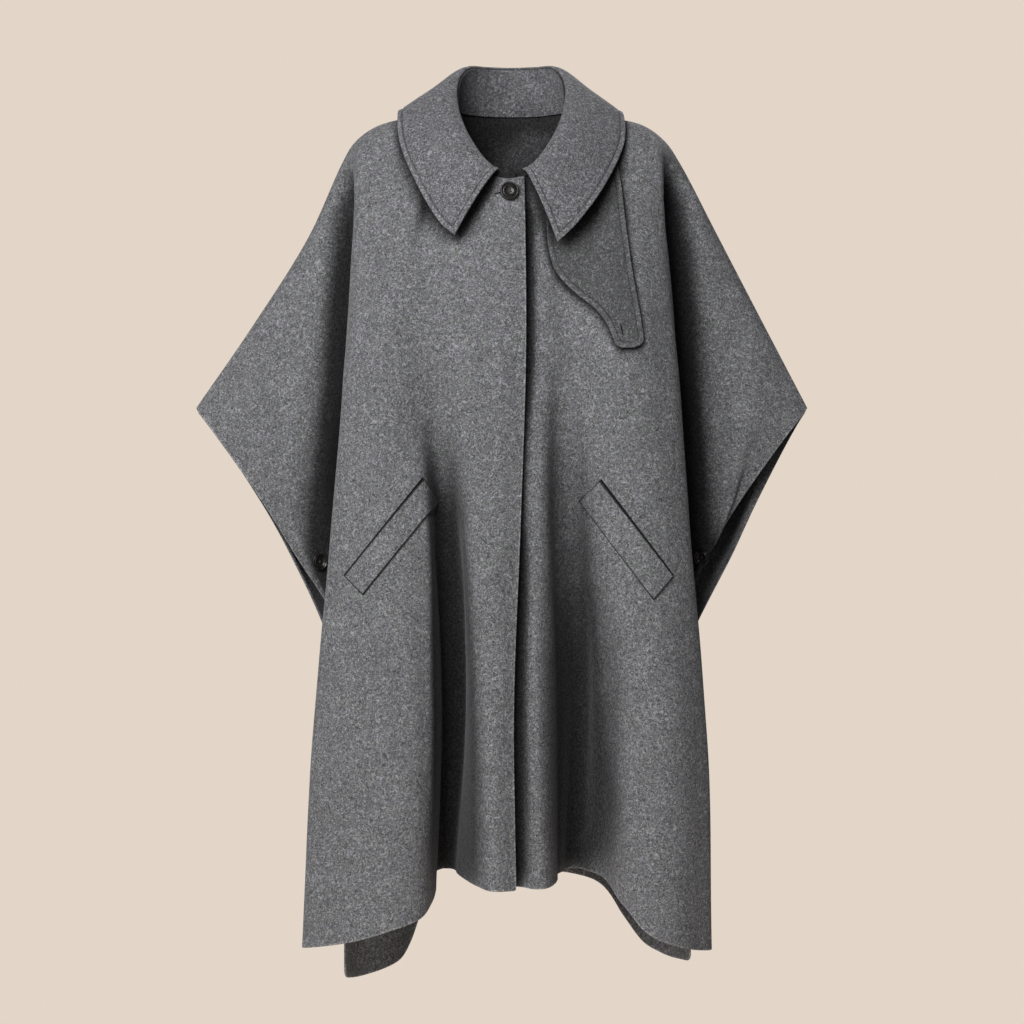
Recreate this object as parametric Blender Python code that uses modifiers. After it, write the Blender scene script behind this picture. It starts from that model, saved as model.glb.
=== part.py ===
"""A grey wool poncho coat with a pointed collar on a stand, modelled as it hangs when worn.

Every cloth piece is an open surface, the inner face of the wall, that Solidify thickens outwards.
A front or the back runs between its fold lines: each row of its table is one line of the cloth,
from the neck or the shoulder seam down to the hem, and gives where that line passes at a quarter,
a half and three quarters of its drop, and where it ends. X is the wearer's left, -Y the front and
Z up. The origin is between the shoulders, level with the back neck. Tables are in millimetres.
"""
import math
from typing import NamedTuple

import bmesh
import bpy
from mathutils import Matrix, Vector
from mathutils.bvhtree import BVHTree

MM = 0.001

# Driving sizes, in metres
WALL = 0.0025
TRIM_WALL = 0.0022
SEAM_GAP = 0.0003
SEAM_LAND = 0.003
NECK_LAND_DROP = 0.012
SHOULDER_ROLL = 0.19
WING_ROLL = 0.075
NECK_CENTRE_X = 0.004
NECK_HALF_WIDTH = 0.080
NECK_BACK_DEPTH = 0.078
NECK_FRONT_DEPTH = 0.114
ROLL_HALF_WIDTH = 0.068
ROLL_BACK_DEPTH = 0.073
ROLL_FRONT_DEPTH = 0.113
FRONT_NECK_ANGLE = 174.0
LEAF_FRONT_ANGLE = 167.5
STAND_RIGHT_ANGLE = 184.0
STAND_LEFT_ANGLE = 176.0
UNDERLAP_ANGLE = 165.0
UNDERLAP_DEPTH = 0.006
STAND_RISE = 0.0042
FLAP_LIFT = 0.0013
WELT_LIFT = 0.0008
LEAF_CLEARANCE = 0.0008
LEAF_RISE = 0.00075
NECK_BUTTON_RADIUS = 0.0115
SIDE_BUTTON_RADIUS = 0.0105

# How finely the cloth is drawn: steps between two fold lines, and rows down a panel
STEPS_PER_FOLD = 2
PANEL_ROWS = 24
STAND_STEPS = 20
STAND_ROWS = 4
LEAF_STEPS = 24
LEAF_ROWS = 9
BUTTON_STEPS = 20

CLOTH_GREY = (0.168, 0.168, 0.172, 1.0)
COLLAR_GREY = (0.175, 0.173, 0.180, 1.0)
BUTTON_BLACK = (0.012, 0.011, 0.011, 1.0)


class FoldLine(NamedTuple):
    """One line of the cloth, with (x, y) at each quarter of its drop and (x, y, z) at the hem."""

    name: str
    top: tuple
    chest: tuple
    waist: tuple
    hip: tuple
    hem: tuple


class SeamPoint(NamedTuple):
    """Where a fold line of the front and one of the back meet on the shoulder seam."""

    name: str
    x: float
    z: float


class CollarStation(NamedTuple):
    """The collar at one angle round the neck, from the centre back: heights and the leaf's edge."""

    angle: float
    seam_z: float
    roll_z: float
    edge_x: float
    edge_y: float
    edge_z: float


class FlapRow(NamedTuple):
    """One cut across the storm flap, from its inner edge to its outer edge."""

    inner_x: float
    inner_z: float
    outer_x: float
    outer_z: float


RIGHT_SEAM = (
    SeamPoint("neck side", -76, 6),
    SeamPoint("collar", -128, -3),
    SeamPoint("panel", -165, -14),
    SeamPoint("fold", -190, -33),
    SeamPoint("groove", -206, -60),
    SeamPoint("wing root", -247, -150),
    SeamPoint("wing", -318, -263),
    SeamPoint("wing corner", -389, -366),
)

LEFT_SEAM = (
    SeamPoint("neck side", 84, 6),
    SeamPoint("collar", 132, -3),
    SeamPoint("panel", 168, -12),
    SeamPoint("fold", 194, -31),
    SeamPoint("groove", 212, -57),
    SeamPoint("wing root", 259, -147),
    SeamPoint("wing", 315, -255),
    SeamPoint("wing corner", 373, -366),
)

# A line's top is ("neck", angle round the neck) or ("seam", name of a seam point)
FRONT_RIGHT_LINES = (
    FoldLine("front edge", ("neck", 192), (22, -148), (15, -155), (7, -155), (10, -152, -949)),
    FoldLine("centre crest", ("neck", 176), (-13, -152), (-15, -161), (-17, -162), (-18, -160, -949)),
    FoldLine("crest side", ("neck", 161), (-45, -148), (-42, -155), (-38, -144), (-38, -130, -945)),
    FoldLine("valley", ("neck", 146), (-84, -137), (-70, -118), (-61, -72), (-80, -48, -934)),
    FoldLine("valley fold", ("neck", 130), (-107, -136), (-96, -140), (-92, -134), (-94, -128, -966)),
    FoldLine("fold turn", ("neck", 112), (-124, -137), (-113, -151), (-108, -158), (-108, -158, -983)),
    FoldLine("panel", ("seam", "neck side"), (-142, -134), (-142, -152), (-143, -166), (-142, -168, -996)),
    FoldLine("panel side", ("seam", "collar"), (-165, -126), (-175, -142), (-185, -154), (-186, -156, -1010)),
    FoldLine("side fold", ("seam", "panel"), (-191, -104), (-212, -120), (-234, -122), (-247, -118, -1022)),
    FoldLine("side turn", ("seam", "fold"), (-187, -76), (-204, -92), (-233, -106), (-246, -104, -1022)),
    FoldLine("groove", ("seam", "groove"), (-183, -44), (-196, -42), (-229, -92), (-241, -92, -1020)),
    FoldLine("wing root", ("seam", "wing root"), (-238, -41), (-221, -40), (-227, -79), (-239, -81, -1018)),
    FoldLine("wing", ("seam", "wing"), (-284, -43), (-211, -34), (-222, -65), (-234, -69, -1017)),
    FoldLine("side edge", ("seam", "wing corner"), (-273, -32), (-192, -26), (-214, -53), (-228, -57, -1016)),
)

FRONT_LEFT_LINES = (
    FoldLine("under edge", ("neck", 190), (-12, -143), (-18, -151), (-24, -151), (-20, -147, -940)),
    FoldLine("front fold", ("neck", 167), (24, -141), (15, -148), (9, -147), (12, -144, -946)),
    FoldLine("crest", ("neck", 157), (44, -138), (38, -149), (36, -151), (44, -148, -947)),
    FoldLine("valley", ("neck", 143), (71, -130), (77, -120), (86, -84), (78, -60, -933)),
    FoldLine("valley side", ("neck", 127), (100, -132), (109, -134), (118, -112), (115, -82, -938)),
    FoldLine("fold turn", ("neck", 110), (126, -134), (139, -148), (145, -145), (140, -132, -968)),
    FoldLine("panel", ("seam", "neck side"), (150, -130), (166, -150), (174, -160), (170, -158, -1001)),
    FoldLine("panel side", ("seam", "collar"), (176, -122), (194, -141), (209, -150), (209, -149, -1018)),
    FoldLine("side fold", ("seam", "panel"), (200, -100), (219, -118), (240, -121), (245, -116, -1025)),
    FoldLine("side turn", ("seam", "fold"), (193, -70), (210, -86), (238, -104), (245, -102, -1024)),
    FoldLine("groove", ("seam", "groove"), (187, -38), (198, -38), (234, -90), (240, -90, -1022)),
    FoldLine("wing root", ("seam", "wing root"), (245, -36), (227, -37), (232, -77), (237, -79, -1020)),
    FoldLine("wing", ("seam", "wing"), (284, -36), (214, -30), (227, -63), (232, -67, -1018)),
    FoldLine("side edge", ("seam", "wing corner"), (257, -30), (195, -24), (219, -52), (225, -56, -1017)),
)

BACK_RIGHT_LINES = (
    FoldLine("side edge", ("seam", "wing corner"), (-270, -22), (-202, -18), (-204, 2), (-203, 0, -1074)),
    FoldLine("wing", ("seam", "wing"), (-290, 14), (-214, 8), (-206, 18), (-197, 18, -1077)),
    FoldLine("wing root", ("seam", "wing root"), (-244, 36), (-224, 42), (-208, 38), (-185, 32, -1077)),
    FoldLine("groove", ("seam", "groove"), (-198, 46), (-206, 58), (-190, 54), (-154, 50, -1069)),
    FoldLine("side turn", ("seam", "fold"), (-196, 72), (-206, 86), (-182, 76), (-136, 64, -1060)),
    FoldLine("side fold", ("seam", "panel"), (-188, 96), (-200, 114), (-172, 104), (-124, 84, -1042)),
    FoldLine("panel", ("seam", "collar"), (-162, 116), (-172, 138), (-156, 138), (-115, 112, -1016)),
    FoldLine("valley", ("seam", "neck side"), (-126, 122), (-134, 141), (-128, 152), (-108, 150, -972)),
    FoldLine("crest", ("neck", 52), (-84, 130), (-90, 154), (-88, 170), (-74, 178, -951)),
    FoldLine("dip", ("neck", 26), (-42, 128), (-44, 144), (-42, 148), (-36, 140, -947)),
)

BACK_CENTRE_LINE = FoldLine("centre", ("neck", 0), (0, 129), (2, 149), (4, 160), (4, 158, -950))

BACK_LEFT_LINES = (
    FoldLine("dip", ("neck", 26), (44, 128), (46, 146), (48, 146), (42, 134, -955)),
    FoldLine("crest", ("neck", 52), (86, 130), (92, 154), (94, 168), (82, 168, -962)),
    FoldLine("valley", ("seam", "neck side"), (128, 121), (138, 140), (138, 146), (118, 136, -972)),
    FoldLine("panel", ("seam", "collar"), (164, 114), (176, 136), (174, 132), (146, 104, -1008)),
    FoldLine("side fold", ("seam", "panel"), (190, 94), (204, 112), (196, 98), (172, 76, -1040)),
    FoldLine("side turn", ("seam", "fold"), (198, 70), (210, 84), (206, 72), (192, 56, -1050)),
    FoldLine("groove", ("seam", "groove"), (204, 44), (211, 56), (211, 50), (206, 40, -1054)),
    FoldLine("wing root", ("seam", "wing root"), (254, 34), (228, 38), (216, 34), (217, 26, -1055)),
    FoldLine("wing", ("seam", "wing"), (300, 14), (216, 8), (214, 16), (223, 14, -1055)),
    FoldLine("side edge", ("seam", "wing corner"), (281, -19), (205, -15), (212, 2), (228, 2, -1054)),
)

# Angles run from the centre back to the front end, the same numbers on the wearer's right and left
COLLAR_RIGHT = (
    CollarStation(0, 9, 69, 4, 118, -30),
    CollarStation(25, 9, 69, -48, 112, -27),
    CollarStation(50, 10, 67, -94, 86, -20),
    CollarStation(72, 9, 51, -126, 44, -6),
    CollarStation(90, 6, 28, -137, 0, 6),
    CollarStation(108, -14, 0, -132, -58, -42),
    CollarStation(132, -50, -37, -107, -100, -100),
    CollarStation(153, -76, -66, -83, -130, -141),
    CollarStation(174, -86, -77, -64, -140, -159),
)

COLLAR_LEFT = (
    CollarStation(0, 9, 69, 4, 118, -30),
    CollarStation(25, 9, 69, 56, 112, -27),
    CollarStation(50, 10, 67, 100, 86, -20),
    CollarStation(72, 9, 51, 131, 44, -6),
    CollarStation(90, 6, 28, 143, 0, 4),
    CollarStation(108, -14, 0, 143, -48, -38),
    CollarStation(132, -50, -37, 116, -105, -98),
    CollarStation(153, -76, -66, 84, -132, -143),
    CollarStation(174, -86, -77, 60, -140, -167),
)

STORM_FLAP = (
    FlapRow(50, -112, 128, -47),
    FlapRow(47, -130, 133, -60),
    FlapRow(47, -157, 139, -92),
    FlapRow(50, -179, 143, -133),
    FlapRow(58, -202, 148, -178),
    FlapRow(80, -226, 153, -216),
    FlapRow(105, -246, 158, -246),
    FlapRow(119, -264, 161, -268),
    FlapRow(126, -280, 163, -284),
    FlapRow(131, -291, 160, -291),
    FlapRow(137, -295, 152, -295),
)
FLAP_STEPS = 10

# Corners of each welt, as (x, z): mouth low, mouth high, lower edge high, lower edge low
WELT_RIGHT = ((-197, -570), (-100, -450), (-77, -473), (-174, -593))
WELT_LEFT = ((199, -570), (112, -454), (87, -479), (175, -599))
WELT_STEPS = (20, 4)

# Where the buttons sit, as (x, z) seen from the front
NECK_BUTTON = (2, -103)
RIGHT_SIDE_BUTTON = (-234, -554)
LEFT_SIDE_BUTTON = (241, -549)


def clear_scene():
    """Remove whatever the file opened with."""
    for found in list(bpy.data.objects):
        bpy.data.objects.remove(found, do_unlink=True)


def make_material(name, colour, roughness):
    """A plain Principled material."""
    material = bpy.data.materials.new(name)
    material.use_nodes = True
    shader = material.node_tree.nodes["Principled BSDF"]
    shader.inputs["Base Color"].default_value = colour
    shader.inputs["Roughness"].default_value = roughness
    return material


def interpolate(table, key, column, at):
    """Read a column of a table at a value of its key, by a smooth curve through the rows."""
    keys = [getattr(row, key) for row in table]
    values = [getattr(row, column) for row in table]
    slot = 0
    while slot < len(keys) - 2 and at > keys[slot + 1]:
        slot += 1
    before = max(slot - 1, 0)
    after = min(slot + 2, len(keys) - 1)
    span = keys[slot + 1] - keys[slot]
    share = (at - keys[slot]) / span
    slope_in = (values[slot + 1] - values[before]) / (keys[slot + 1] - keys[before]) * span
    slope_out = (values[after] - values[slot]) / (keys[after] - keys[slot]) * span
    return hermite(values[slot], values[slot + 1], slope_in, slope_out, share)


def hermite(start, end, slope_in, slope_out, share):
    """A cubic from start to end with the given end slopes, for numbers or vectors."""
    square = share * share
    cube = square * share
    return (start * (2 * cube - 3 * square + 1) + slope_in * (cube - 2 * square + share)
            + end * (3 * square - 2 * cube) + slope_out * (cube - square))


def through(points, at, start_slope=None):
    """A smooth curve through evenly counted points, read at a share of their number."""
    place = at * (len(points) - 1)
    slot = min(int(place), len(points) - 2)
    share = place - slot
    here = points[slot]
    there = points[slot + 1]
    if slot > 0:
        slope_in = (there - points[slot - 1]) * 0.5
    elif start_slope is not None:
        slope_in = start_slope
    else:
        slope_in = there - here
    if slot + 2 < len(points):
        slope_out = (points[slot + 2] - here) * 0.5
    else:
        slope_out = there - here
    return hermite(here, there, slope_in, slope_out, share)


def across(points, slot, share):
    """A rounded curve across unevenly spaced points, between points[slot] and the next."""
    here = points[slot]
    there = points[slot + 1]
    before = points[slot - 1] if slot > 0 else here * 2 - there
    after = points[slot + 2] if slot + 2 < len(points) else there * 2 - here
    span = max((there - here).length, 1e-6) ** 0.5
    span_before = max((here - before).length, 1e-6) ** 0.5
    span_after = max((after - there).length, 1e-6) ** 0.5
    slope_in = ((here - before) / span_before - (there - before) / (span_before + span)
                + (there - here) / span) * span
    slope_out = ((there - here) / span - (after - here) / (span + span_after)
                 + (after - there) / span_after) * span
    return hermite(here, there, slope_in, slope_out, share)


def neck_point(angle, side):
    """The neck seam at an angle from the centre back; side is -1 on the wearer's right."""
    turn = math.radians(angle)
    depth = NECK_BACK_DEPTH if math.cos(turn) > 0 else NECK_FRONT_DEPTH
    table = COLLAR_RIGHT if side < 0 else COLLAR_LEFT
    height = interpolate(table, "angle", "seam_z", 180 - abs(180 - angle)) * MM
    return Vector((NECK_CENTRE_X + side * NECK_HALF_WIDTH * math.sin(turn),
                   depth * math.cos(turn), height))


def roll_point(angle, side):
    """The roll line, where the collar turns over the top of its stand."""
    turn = math.radians(angle)
    depth = ROLL_BACK_DEPTH if math.cos(turn) > 0 else ROLL_FRONT_DEPTH
    table = COLLAR_RIGHT if side < 0 else COLLAR_LEFT
    height = interpolate(table, "angle", "roll_z", 180 - abs(180 - angle)) * MM
    return Vector((NECK_CENTRE_X + side * ROLL_HALF_WIDTH * math.sin(turn),
                   depth * math.cos(turn), height))


def top_point(line, side, seam):
    """Where a fold line starts, on the neck seam or on the shoulder seam."""
    kind, value = line.top
    if kind == "neck":
        point = neck_point(value, side)
        if side > 0 and value > UNDERLAP_ANGLE:
            point.y += UNDERLAP_DEPTH
        return point
    for point in seam:
        if point.name == value:
            return Vector((point.x * MM, 0.0, point.z * MM))
    raise ValueError("no seam point " + value)


class Line:
    """A fold line as a curve in space, with the way it leaves the seam."""

    def __init__(self, row, side, seam, towards):
        top = top_point(row, side, seam)
        self.on_seam = row.top[0] == "seam"
        hem = Vector(row.hem) * MM
        points = [top]
        for share, place in ((0.25, row.chest), (0.5, row.waist), (0.75, row.hip)):
            height = top.z + (hem.z - top.z) * share
            points.append(Vector((place[0] * MM, place[1] * MM, height)))
        points.append(hem)
        self.points = points
        self.towards = towards
        self.start_slope = None
        if self.on_seam:
            share = min(max((-top.z - 0.03) / 0.12, 0.0), 1.0)
            roll = SHOULDER_ROLL + (WING_ROLL - SHOULDER_ROLL) * share
            chord = points[1] - top
            self.start_slope = Vector((chord.x * 0.35, towards * roll, chord.z * 0.25))

    def at(self, drop):
        """The point of the line at a share of its drop."""
        return through(self.points, drop, self.start_slope)


def make_lines(rows, side, seam, towards):
    return [Line(row, side, seam, towards) for row in rows]


def panel_row(lines, drop):
    """Points across a panel at one share of its drop."""
    points = [line.at(drop) for line in lines]
    row = []
    for slot in range(len(points) - 1):
        for step in range(STEPS_PER_FOLD):
            row.append(across(points, slot, step / STEPS_PER_FOLD))
    row.append(points[-1])
    return row


def seam_row(lines, towards, inset):
    """The top edge of a panel: the neck and each shoulder are curves of their own."""
    runs = []
    current = [0]
    for index in range(1, len(lines)):
        if lines[index].on_seam != lines[index - 1].on_seam and lines[index].on_seam:
            current.append(index)
            runs.append(current)
            current = [index]
        elif lines[index].on_seam != lines[index - 1].on_seam:
            runs.append(current)
            current = [index - 1, index]
        else:
            current.append(index)
    runs.append(current)
    row = []
    for run in runs:
        points = [lines[index].points[0] for index in run]
        on_seam = all(lines[index].on_seam for index in run)
        for slot in range(len(points) - 1):
            for step in range(STEPS_PER_FOLD):
                share = step / STEPS_PER_FOLD
                point = across(points, slot, share)
                if on_seam:
                    point = point + Vector((0.0, towards * inset, 0.0))
                row.append(point)
    last = lines[-1].points[0]
    if lines[-1].on_seam:
        last = last + Vector((0.0, towards * inset, 0.0))
    row.append(last)
    return row


def row_shares():
    """Shares of the drop for the rows of a panel, closer together at the shoulder."""
    return [(row / PANEL_ROWS) ** 1.25 for row in range(1, PANEL_ROWS + 1)]


def panel_grid(lines, towards):
    """All rows of a panel, from the seam down to the hem."""
    rows = [seam_row(lines, towards, SEAM_GAP / 2)]
    land = seam_row(lines, towards, SEAM_LAND)
    below = panel_row(lines, NECK_LAND_DROP)
    neck_land = []
    for edge, flat, lower in zip(rows[0], land, below):
        if abs(flat.y - edge.y) > 1e-6:
            neck_land.append(flat)
        else:
            neck_land.append(edge.lerp(lower, 0.6))
    rows.append(neck_land)
    for share in row_shares():
        rows.append(panel_row(lines, share))
    return rows


def surface_from_rows(rows):
    """A grid mesh with its points set from rows of points."""
    mesh = bmesh.new()
    bmesh.ops.create_grid(mesh, x_segments=len(rows[0]) - 1, y_segments=len(rows) - 1, size=0.5)
    wide = len(rows[0])
    for index, vertex in enumerate(sorted(mesh.verts, key=grid_order)):
        vertex.co = rows[index // wide][index % wide]
    return mesh


def grid_order(vertex):
    """Row by row from the far edge, left to right."""
    return (-round(vertex.co.y, 5), round(vertex.co.x, 5))


def face_outwards(mesh, outside):
    """Turn all faces if they point away from the outside direction on the whole."""
    mesh.normal_update()
    total = Vector((0.0, 0.0, 0.0))
    for face in mesh.faces:
        total += face.normal * face.calc_area()
    if total.dot(outside) < 0:
        bmesh.ops.reverse_faces(mesh, faces=mesh.faces)


def add_cloth(name, rows, outside, wall, material, collection):
    """A cloth piece: the surface of its rows, thickened outwards."""
    mesh = surface_from_rows(rows)
    face_outwards(mesh, outside)
    data = bpy.data.meshes.new(name)
    mesh.to_mesh(data)
    mesh.free()
    data.materials.append(material)
    data.shade_smooth()
    data.set_sharp_from_angle(angle=math.radians(50))
    piece = bpy.data.objects.new(name, data)
    collection.objects.link(piece)
    solidify = piece.modifiers.new("wall", "SOLIDIFY")
    solidify.thickness = wall
    solidify.offset = 1.0
    return piece


def evaluated_tree(pieces):
    """A search tree over the finished walls of some pieces."""
    bpy.context.view_layer.update()
    depsgraph = bpy.context.evaluated_depsgraph_get()
    points = []
    faces = []
    for piece in pieces:
        mesh = piece.evaluated_get(depsgraph).to_mesh()
        start = len(points)
        points += [piece.matrix_world @ vertex.co for vertex in mesh.vertices]
        faces += [[start + index for index in polygon.vertices] for polygon in mesh.polygons]
    return BVHTree.FromPolygons(points, faces)


def on_cloth(tree, x, z, lift):
    """The point of the cloth seen from the front at x and z, lifted off it."""
    found, normal, _, _ = tree.ray_cast(Vector((x, -1.0, z)), Vector((0.0, 1.0, 0.0)))
    return found + normal * lift, normal


def patch_rows(tree, corners_at, steps_long, steps_wide, lift):
    """A patch that lies on the cloth between two edges, as rows of points."""
    rows = []
    for long_step in range(steps_long + 1):
        inner, outer = corners_at(long_step / steps_long)
        row = []
        for wide_step in range(steps_wide + 1):
            flat = inner.lerp(outer, wide_step / steps_wide)
            point, _ = on_cloth(tree, flat.x, flat.y, lift)
            row.append(point)
        rows.append(row)
    return rows


def make_welt(name, corners, tree, material, collection):
    """A pocket welt: a narrow strip on the panel, between its mouth and its lower edge."""
    mouth_low, mouth_high, edge_high, edge_low = [Vector(corner) * MM for corner in corners]

    def edges(share):
        return mouth_low.lerp(mouth_high, share), edge_low.lerp(edge_high, share)

    rows = patch_rows(tree, edges, WELT_STEPS[0], WELT_STEPS[1], WELT_LIFT)
    return add_cloth(name, rows, Vector((0.0, -1.0, 0.0)), TRIM_WALL, material, collection)


def make_flap(tree, material, collection):
    """The storm flap, from under the collar to its rounded end on the wearer's left front."""
    inner = [Vector((row.inner_x, row.inner_z)) * MM for row in STORM_FLAP]
    outer = [Vector((row.outer_x, row.outer_z)) * MM for row in STORM_FLAP]

    def edges(share):
        return through(inner, share), through(outer, share)

    steps = 2 * (len(STORM_FLAP) - 1)
    rows = patch_rows(tree, edges, steps, FLAP_STEPS, FLAP_LIFT)
    return add_cloth("storm_flap", rows, Vector((0.0, -1.0, 0.0)), TRIM_WALL, material, collection)


def collar_angles(steps, right_angle, left_angle):
    """Angles from the front end on the wearer's right, round the back, to the left front end."""
    angles = []
    for step in range(-steps, steps + 1):
        side = 1 if step > 0 else -1
        angles.append((abs(step) / steps * (left_angle if step > 0 else right_angle), side))
    return angles


def set_back(point, angle, side):
    """Move a point of the left front end behind the right one, which laps over it."""
    share = min(max((angle - LEAF_FRONT_ANGLE) / (STAND_LEFT_ANGLE - LEAF_FRONT_ANGLE) * 2, 0.0), 1.0)
    if side > 0:
        point.y += UNDERLAP_DEPTH * share
    return point


def make_stand(material, collection):
    """The collar stand, from just above the neck seam up to the roll line."""
    rows = []
    for level in range(STAND_ROWS + 1):
        row = []
        for angle, side in collar_angles(STAND_STEPS, STAND_RIGHT_ANGLE, STAND_LEFT_ANGLE):
            foot = neck_point(angle, side) + Vector((0.0, 0.0, STAND_RISE))
            top = roll_point(angle, side)
            row.append(set_back(foot.lerp(top, level / STAND_ROWS), angle, side))
        rows.append(row)
    rows.reverse()
    return add_cloth("collar_stand", rows, Vector((0.0, 1.0, 0.2)), WALL, material, collection)


def edge_point(angle, side):
    """A first place for the leaf's outer edge."""
    table = COLLAR_RIGHT if side < 0 else COLLAR_LEFT
    return Vector([interpolate(table, "angle", column, angle) * MM
                   for column in ("edge_x", "edge_y", "edge_z")])


def push_off(tree, point, clearance):
    """Move a point out until it clears the cloth below it."""
    found, normal, _, distance = tree.find_nearest(point)
    outside = (point - found).dot(normal)
    if outside < 0 or distance < clearance:
        return found + normal * clearance
    return point


def make_leaf(tree, material, collection):
    """The collar leaf: over the top of the stand, then out and down to rest on the shoulders."""
    columns = []
    for angle, side in collar_angles(LEAF_STEPS, LEAF_FRONT_ANGLE, LEAF_FRONT_ANGLE):
        foot = neck_point(angle, side) + Vector((0.0, 0.0, STAND_RISE))
        up = (roll_point(angle, side) - foot).normalized()
        start = roll_point(angle, side) + up * LEAF_RISE
        end = edge_point(angle * FRONT_NECK_ANGLE / LEAF_FRONT_ANGLE, side)
        turn = math.radians(angle)
        out = Vector((side * math.sin(turn), math.cos(turn), 0.0))
        out = (out - up * out.dot(up)).normalized()
        reach = (end - start).length
        slope_in = out * reach * 0.75 + up * reach * 0.17
        slope_out = (end - start) * 0.9 + Vector((0.0, 0.0, -reach * 0.25))
        column = []
        for step in range(LEAF_ROWS + 1):
            share = (step / LEAF_ROWS) ** 1.35
            point = hermite(start, end, slope_in, slope_out, share)
            if step > 1:
                point = push_off(tree, point, LEAF_CLEARANCE)
            column.append(point)
        columns.append(column)
    rows = [[column[step] for column in columns] for step in range(LEAF_ROWS + 1)]
    return add_cloth("collar_leaf", rows, Vector((0.0, -0.1, 1.0)), WALL, material, collection)


def make_button(name, radius, centre, normal, material, collection):
    """A dished coat button with a raised rim and a short shank, turned from its profile."""
    rim = radius * 0.30
    thick = radius * 0.36
    shank = 0.0012
    profile = (
        (0.0, thick + shank - rim * 0.62),
        (radius * 0.45, thick + shank - rim * 0.55),
        (radius - rim * 1.25, thick + shank - rim * 0.30),
        (radius - rim * 0.85, thick + shank),
        (radius - rim * 0.35, thick + shank - rim * 0.04),
        (radius, thick * 0.55 + shank),
        (radius - rim * 0.25, shank + thick * 0.12),
        (radius * 0.32, shank),
        (radius * 0.26, 0.0),
        (0.0, 0.0),
    )
    mesh = bpy.data.meshes.new(name)
    mesh.from_pydata([(x, 0.0, z) for x, z in profile],
                     [(index, index + 1) for index in range(len(profile) - 1)], [])
    mesh.materials.append(material)
    piece = bpy.data.objects.new(name, mesh)
    collection.objects.link(piece)
    screw = piece.modifiers.new("turn", "SCREW")
    screw.steps = BUTTON_STEPS
    screw.render_steps = BUTTON_STEPS
    screw.use_merge_vertices = True
    screw.merge_threshold = 0.00001
    screw.use_smooth_shade = True
    upright = normal.to_track_quat("Z", "Y").to_matrix().to_4x4()
    piece.matrix_world = Matrix.Translation(centre + normal * SEAM_GAP) @ upright
    return piece


def build():
    clear_scene()
    collection = bpy.data.collections.new("high_neck_poncho")
    bpy.context.scene.collection.children.link(collection)
    cloth = make_material("grey wool", CLOTH_GREY, 0.95)
    collar_cloth = make_material("grey wool collar", COLLAR_GREY, 0.95)
    horn = make_material("black horn", BUTTON_BLACK, 0.30)

    front = Vector((0.0, -1.0, 0.0))
    right_lines = make_lines(FRONT_RIGHT_LINES, -1, RIGHT_SEAM, -1)
    left_lines = make_lines(FRONT_LEFT_LINES, 1, LEFT_SEAM, -1)
    back_lines = make_lines(BACK_RIGHT_LINES, -1, RIGHT_SEAM, 1)
    back_lines += make_lines((BACK_CENTRE_LINE,), -1, RIGHT_SEAM, 1)
    back_lines += make_lines(BACK_LEFT_LINES, 1, LEFT_SEAM, 1)

    front_right = add_cloth("front_right", panel_grid(right_lines, -1), front, WALL, cloth, collection)
    front_left = add_cloth("front_left", panel_grid(left_lines, -1), front, WALL, cloth, collection)
    back = add_cloth("back", panel_grid(back_lines, 1), -front, WALL, cloth, collection)

    right_tree = evaluated_tree([front_right])
    left_tree = evaluated_tree([front_left])
    make_welt("welt_right", WELT_RIGHT, right_tree, cloth, collection)
    make_welt("welt_left", WELT_LEFT, left_tree, cloth, collection)
    flap = make_flap(left_tree, cloth, collection)

    stand = make_stand(collar_cloth, collection)
    body_tree = evaluated_tree([front_right, front_left, back, flap, stand])
    make_leaf(body_tree, collar_cloth, collection)

    for name, radius, tree, place in (
            ("button_neck", NECK_BUTTON_RADIUS, right_tree, NECK_BUTTON),
            ("button_side_right", SIDE_BUTTON_RADIUS, right_tree, RIGHT_SIDE_BUTTON),
            ("button_side_left", SIDE_BUTTON_RADIUS, left_tree, LEFT_SIDE_BUTTON)):
        seat, facing = on_cloth(tree, place[0] * MM, place[1] * MM, 0.0)
        make_button(name, radius, seat, facing, horn, collection)


build()
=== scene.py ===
# %% [markdown]
# This is a grey wool poncho coat as it hangs when worn, with nobody in it. Two fronts carry the
# front halves of the arm wings, one back carries the other halves, and a pointed collar turns down
# over its stand. A storm flap, two pocket welts and three buttons finish it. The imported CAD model
# is loaded first and never changes. Each piece is then made again with the soft folds, rounded
# edges, stitching and felted cloth that a plain solid leaves out.

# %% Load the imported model
import math
from typing import NamedTuple

import bpy
import numpy as np
from mathutils import Matrix, Vector, noise
from mathutils.bvhtree import BVHTree


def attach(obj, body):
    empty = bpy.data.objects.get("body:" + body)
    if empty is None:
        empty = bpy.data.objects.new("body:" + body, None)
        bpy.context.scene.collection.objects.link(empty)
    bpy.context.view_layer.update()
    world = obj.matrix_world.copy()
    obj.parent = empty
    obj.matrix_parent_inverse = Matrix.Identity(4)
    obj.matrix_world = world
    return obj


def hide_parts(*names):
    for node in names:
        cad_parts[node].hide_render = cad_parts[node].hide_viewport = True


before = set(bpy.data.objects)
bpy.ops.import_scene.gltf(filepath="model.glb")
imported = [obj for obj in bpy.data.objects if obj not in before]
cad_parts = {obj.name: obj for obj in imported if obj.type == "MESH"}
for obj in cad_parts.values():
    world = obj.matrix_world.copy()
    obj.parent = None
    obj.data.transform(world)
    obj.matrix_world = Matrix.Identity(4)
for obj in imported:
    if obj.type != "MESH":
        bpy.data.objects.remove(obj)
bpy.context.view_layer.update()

MM = 0.001
print("CAD nodes:", ", ".join(sorted(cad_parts)))

# %% [markdown]
# The coat is photographed square on and from far away, so its sides hardly converge. A long lens
# four metres off gives the same flat look. Its focal length follows from the width of cloth that
# the picture has to hold.

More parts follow.
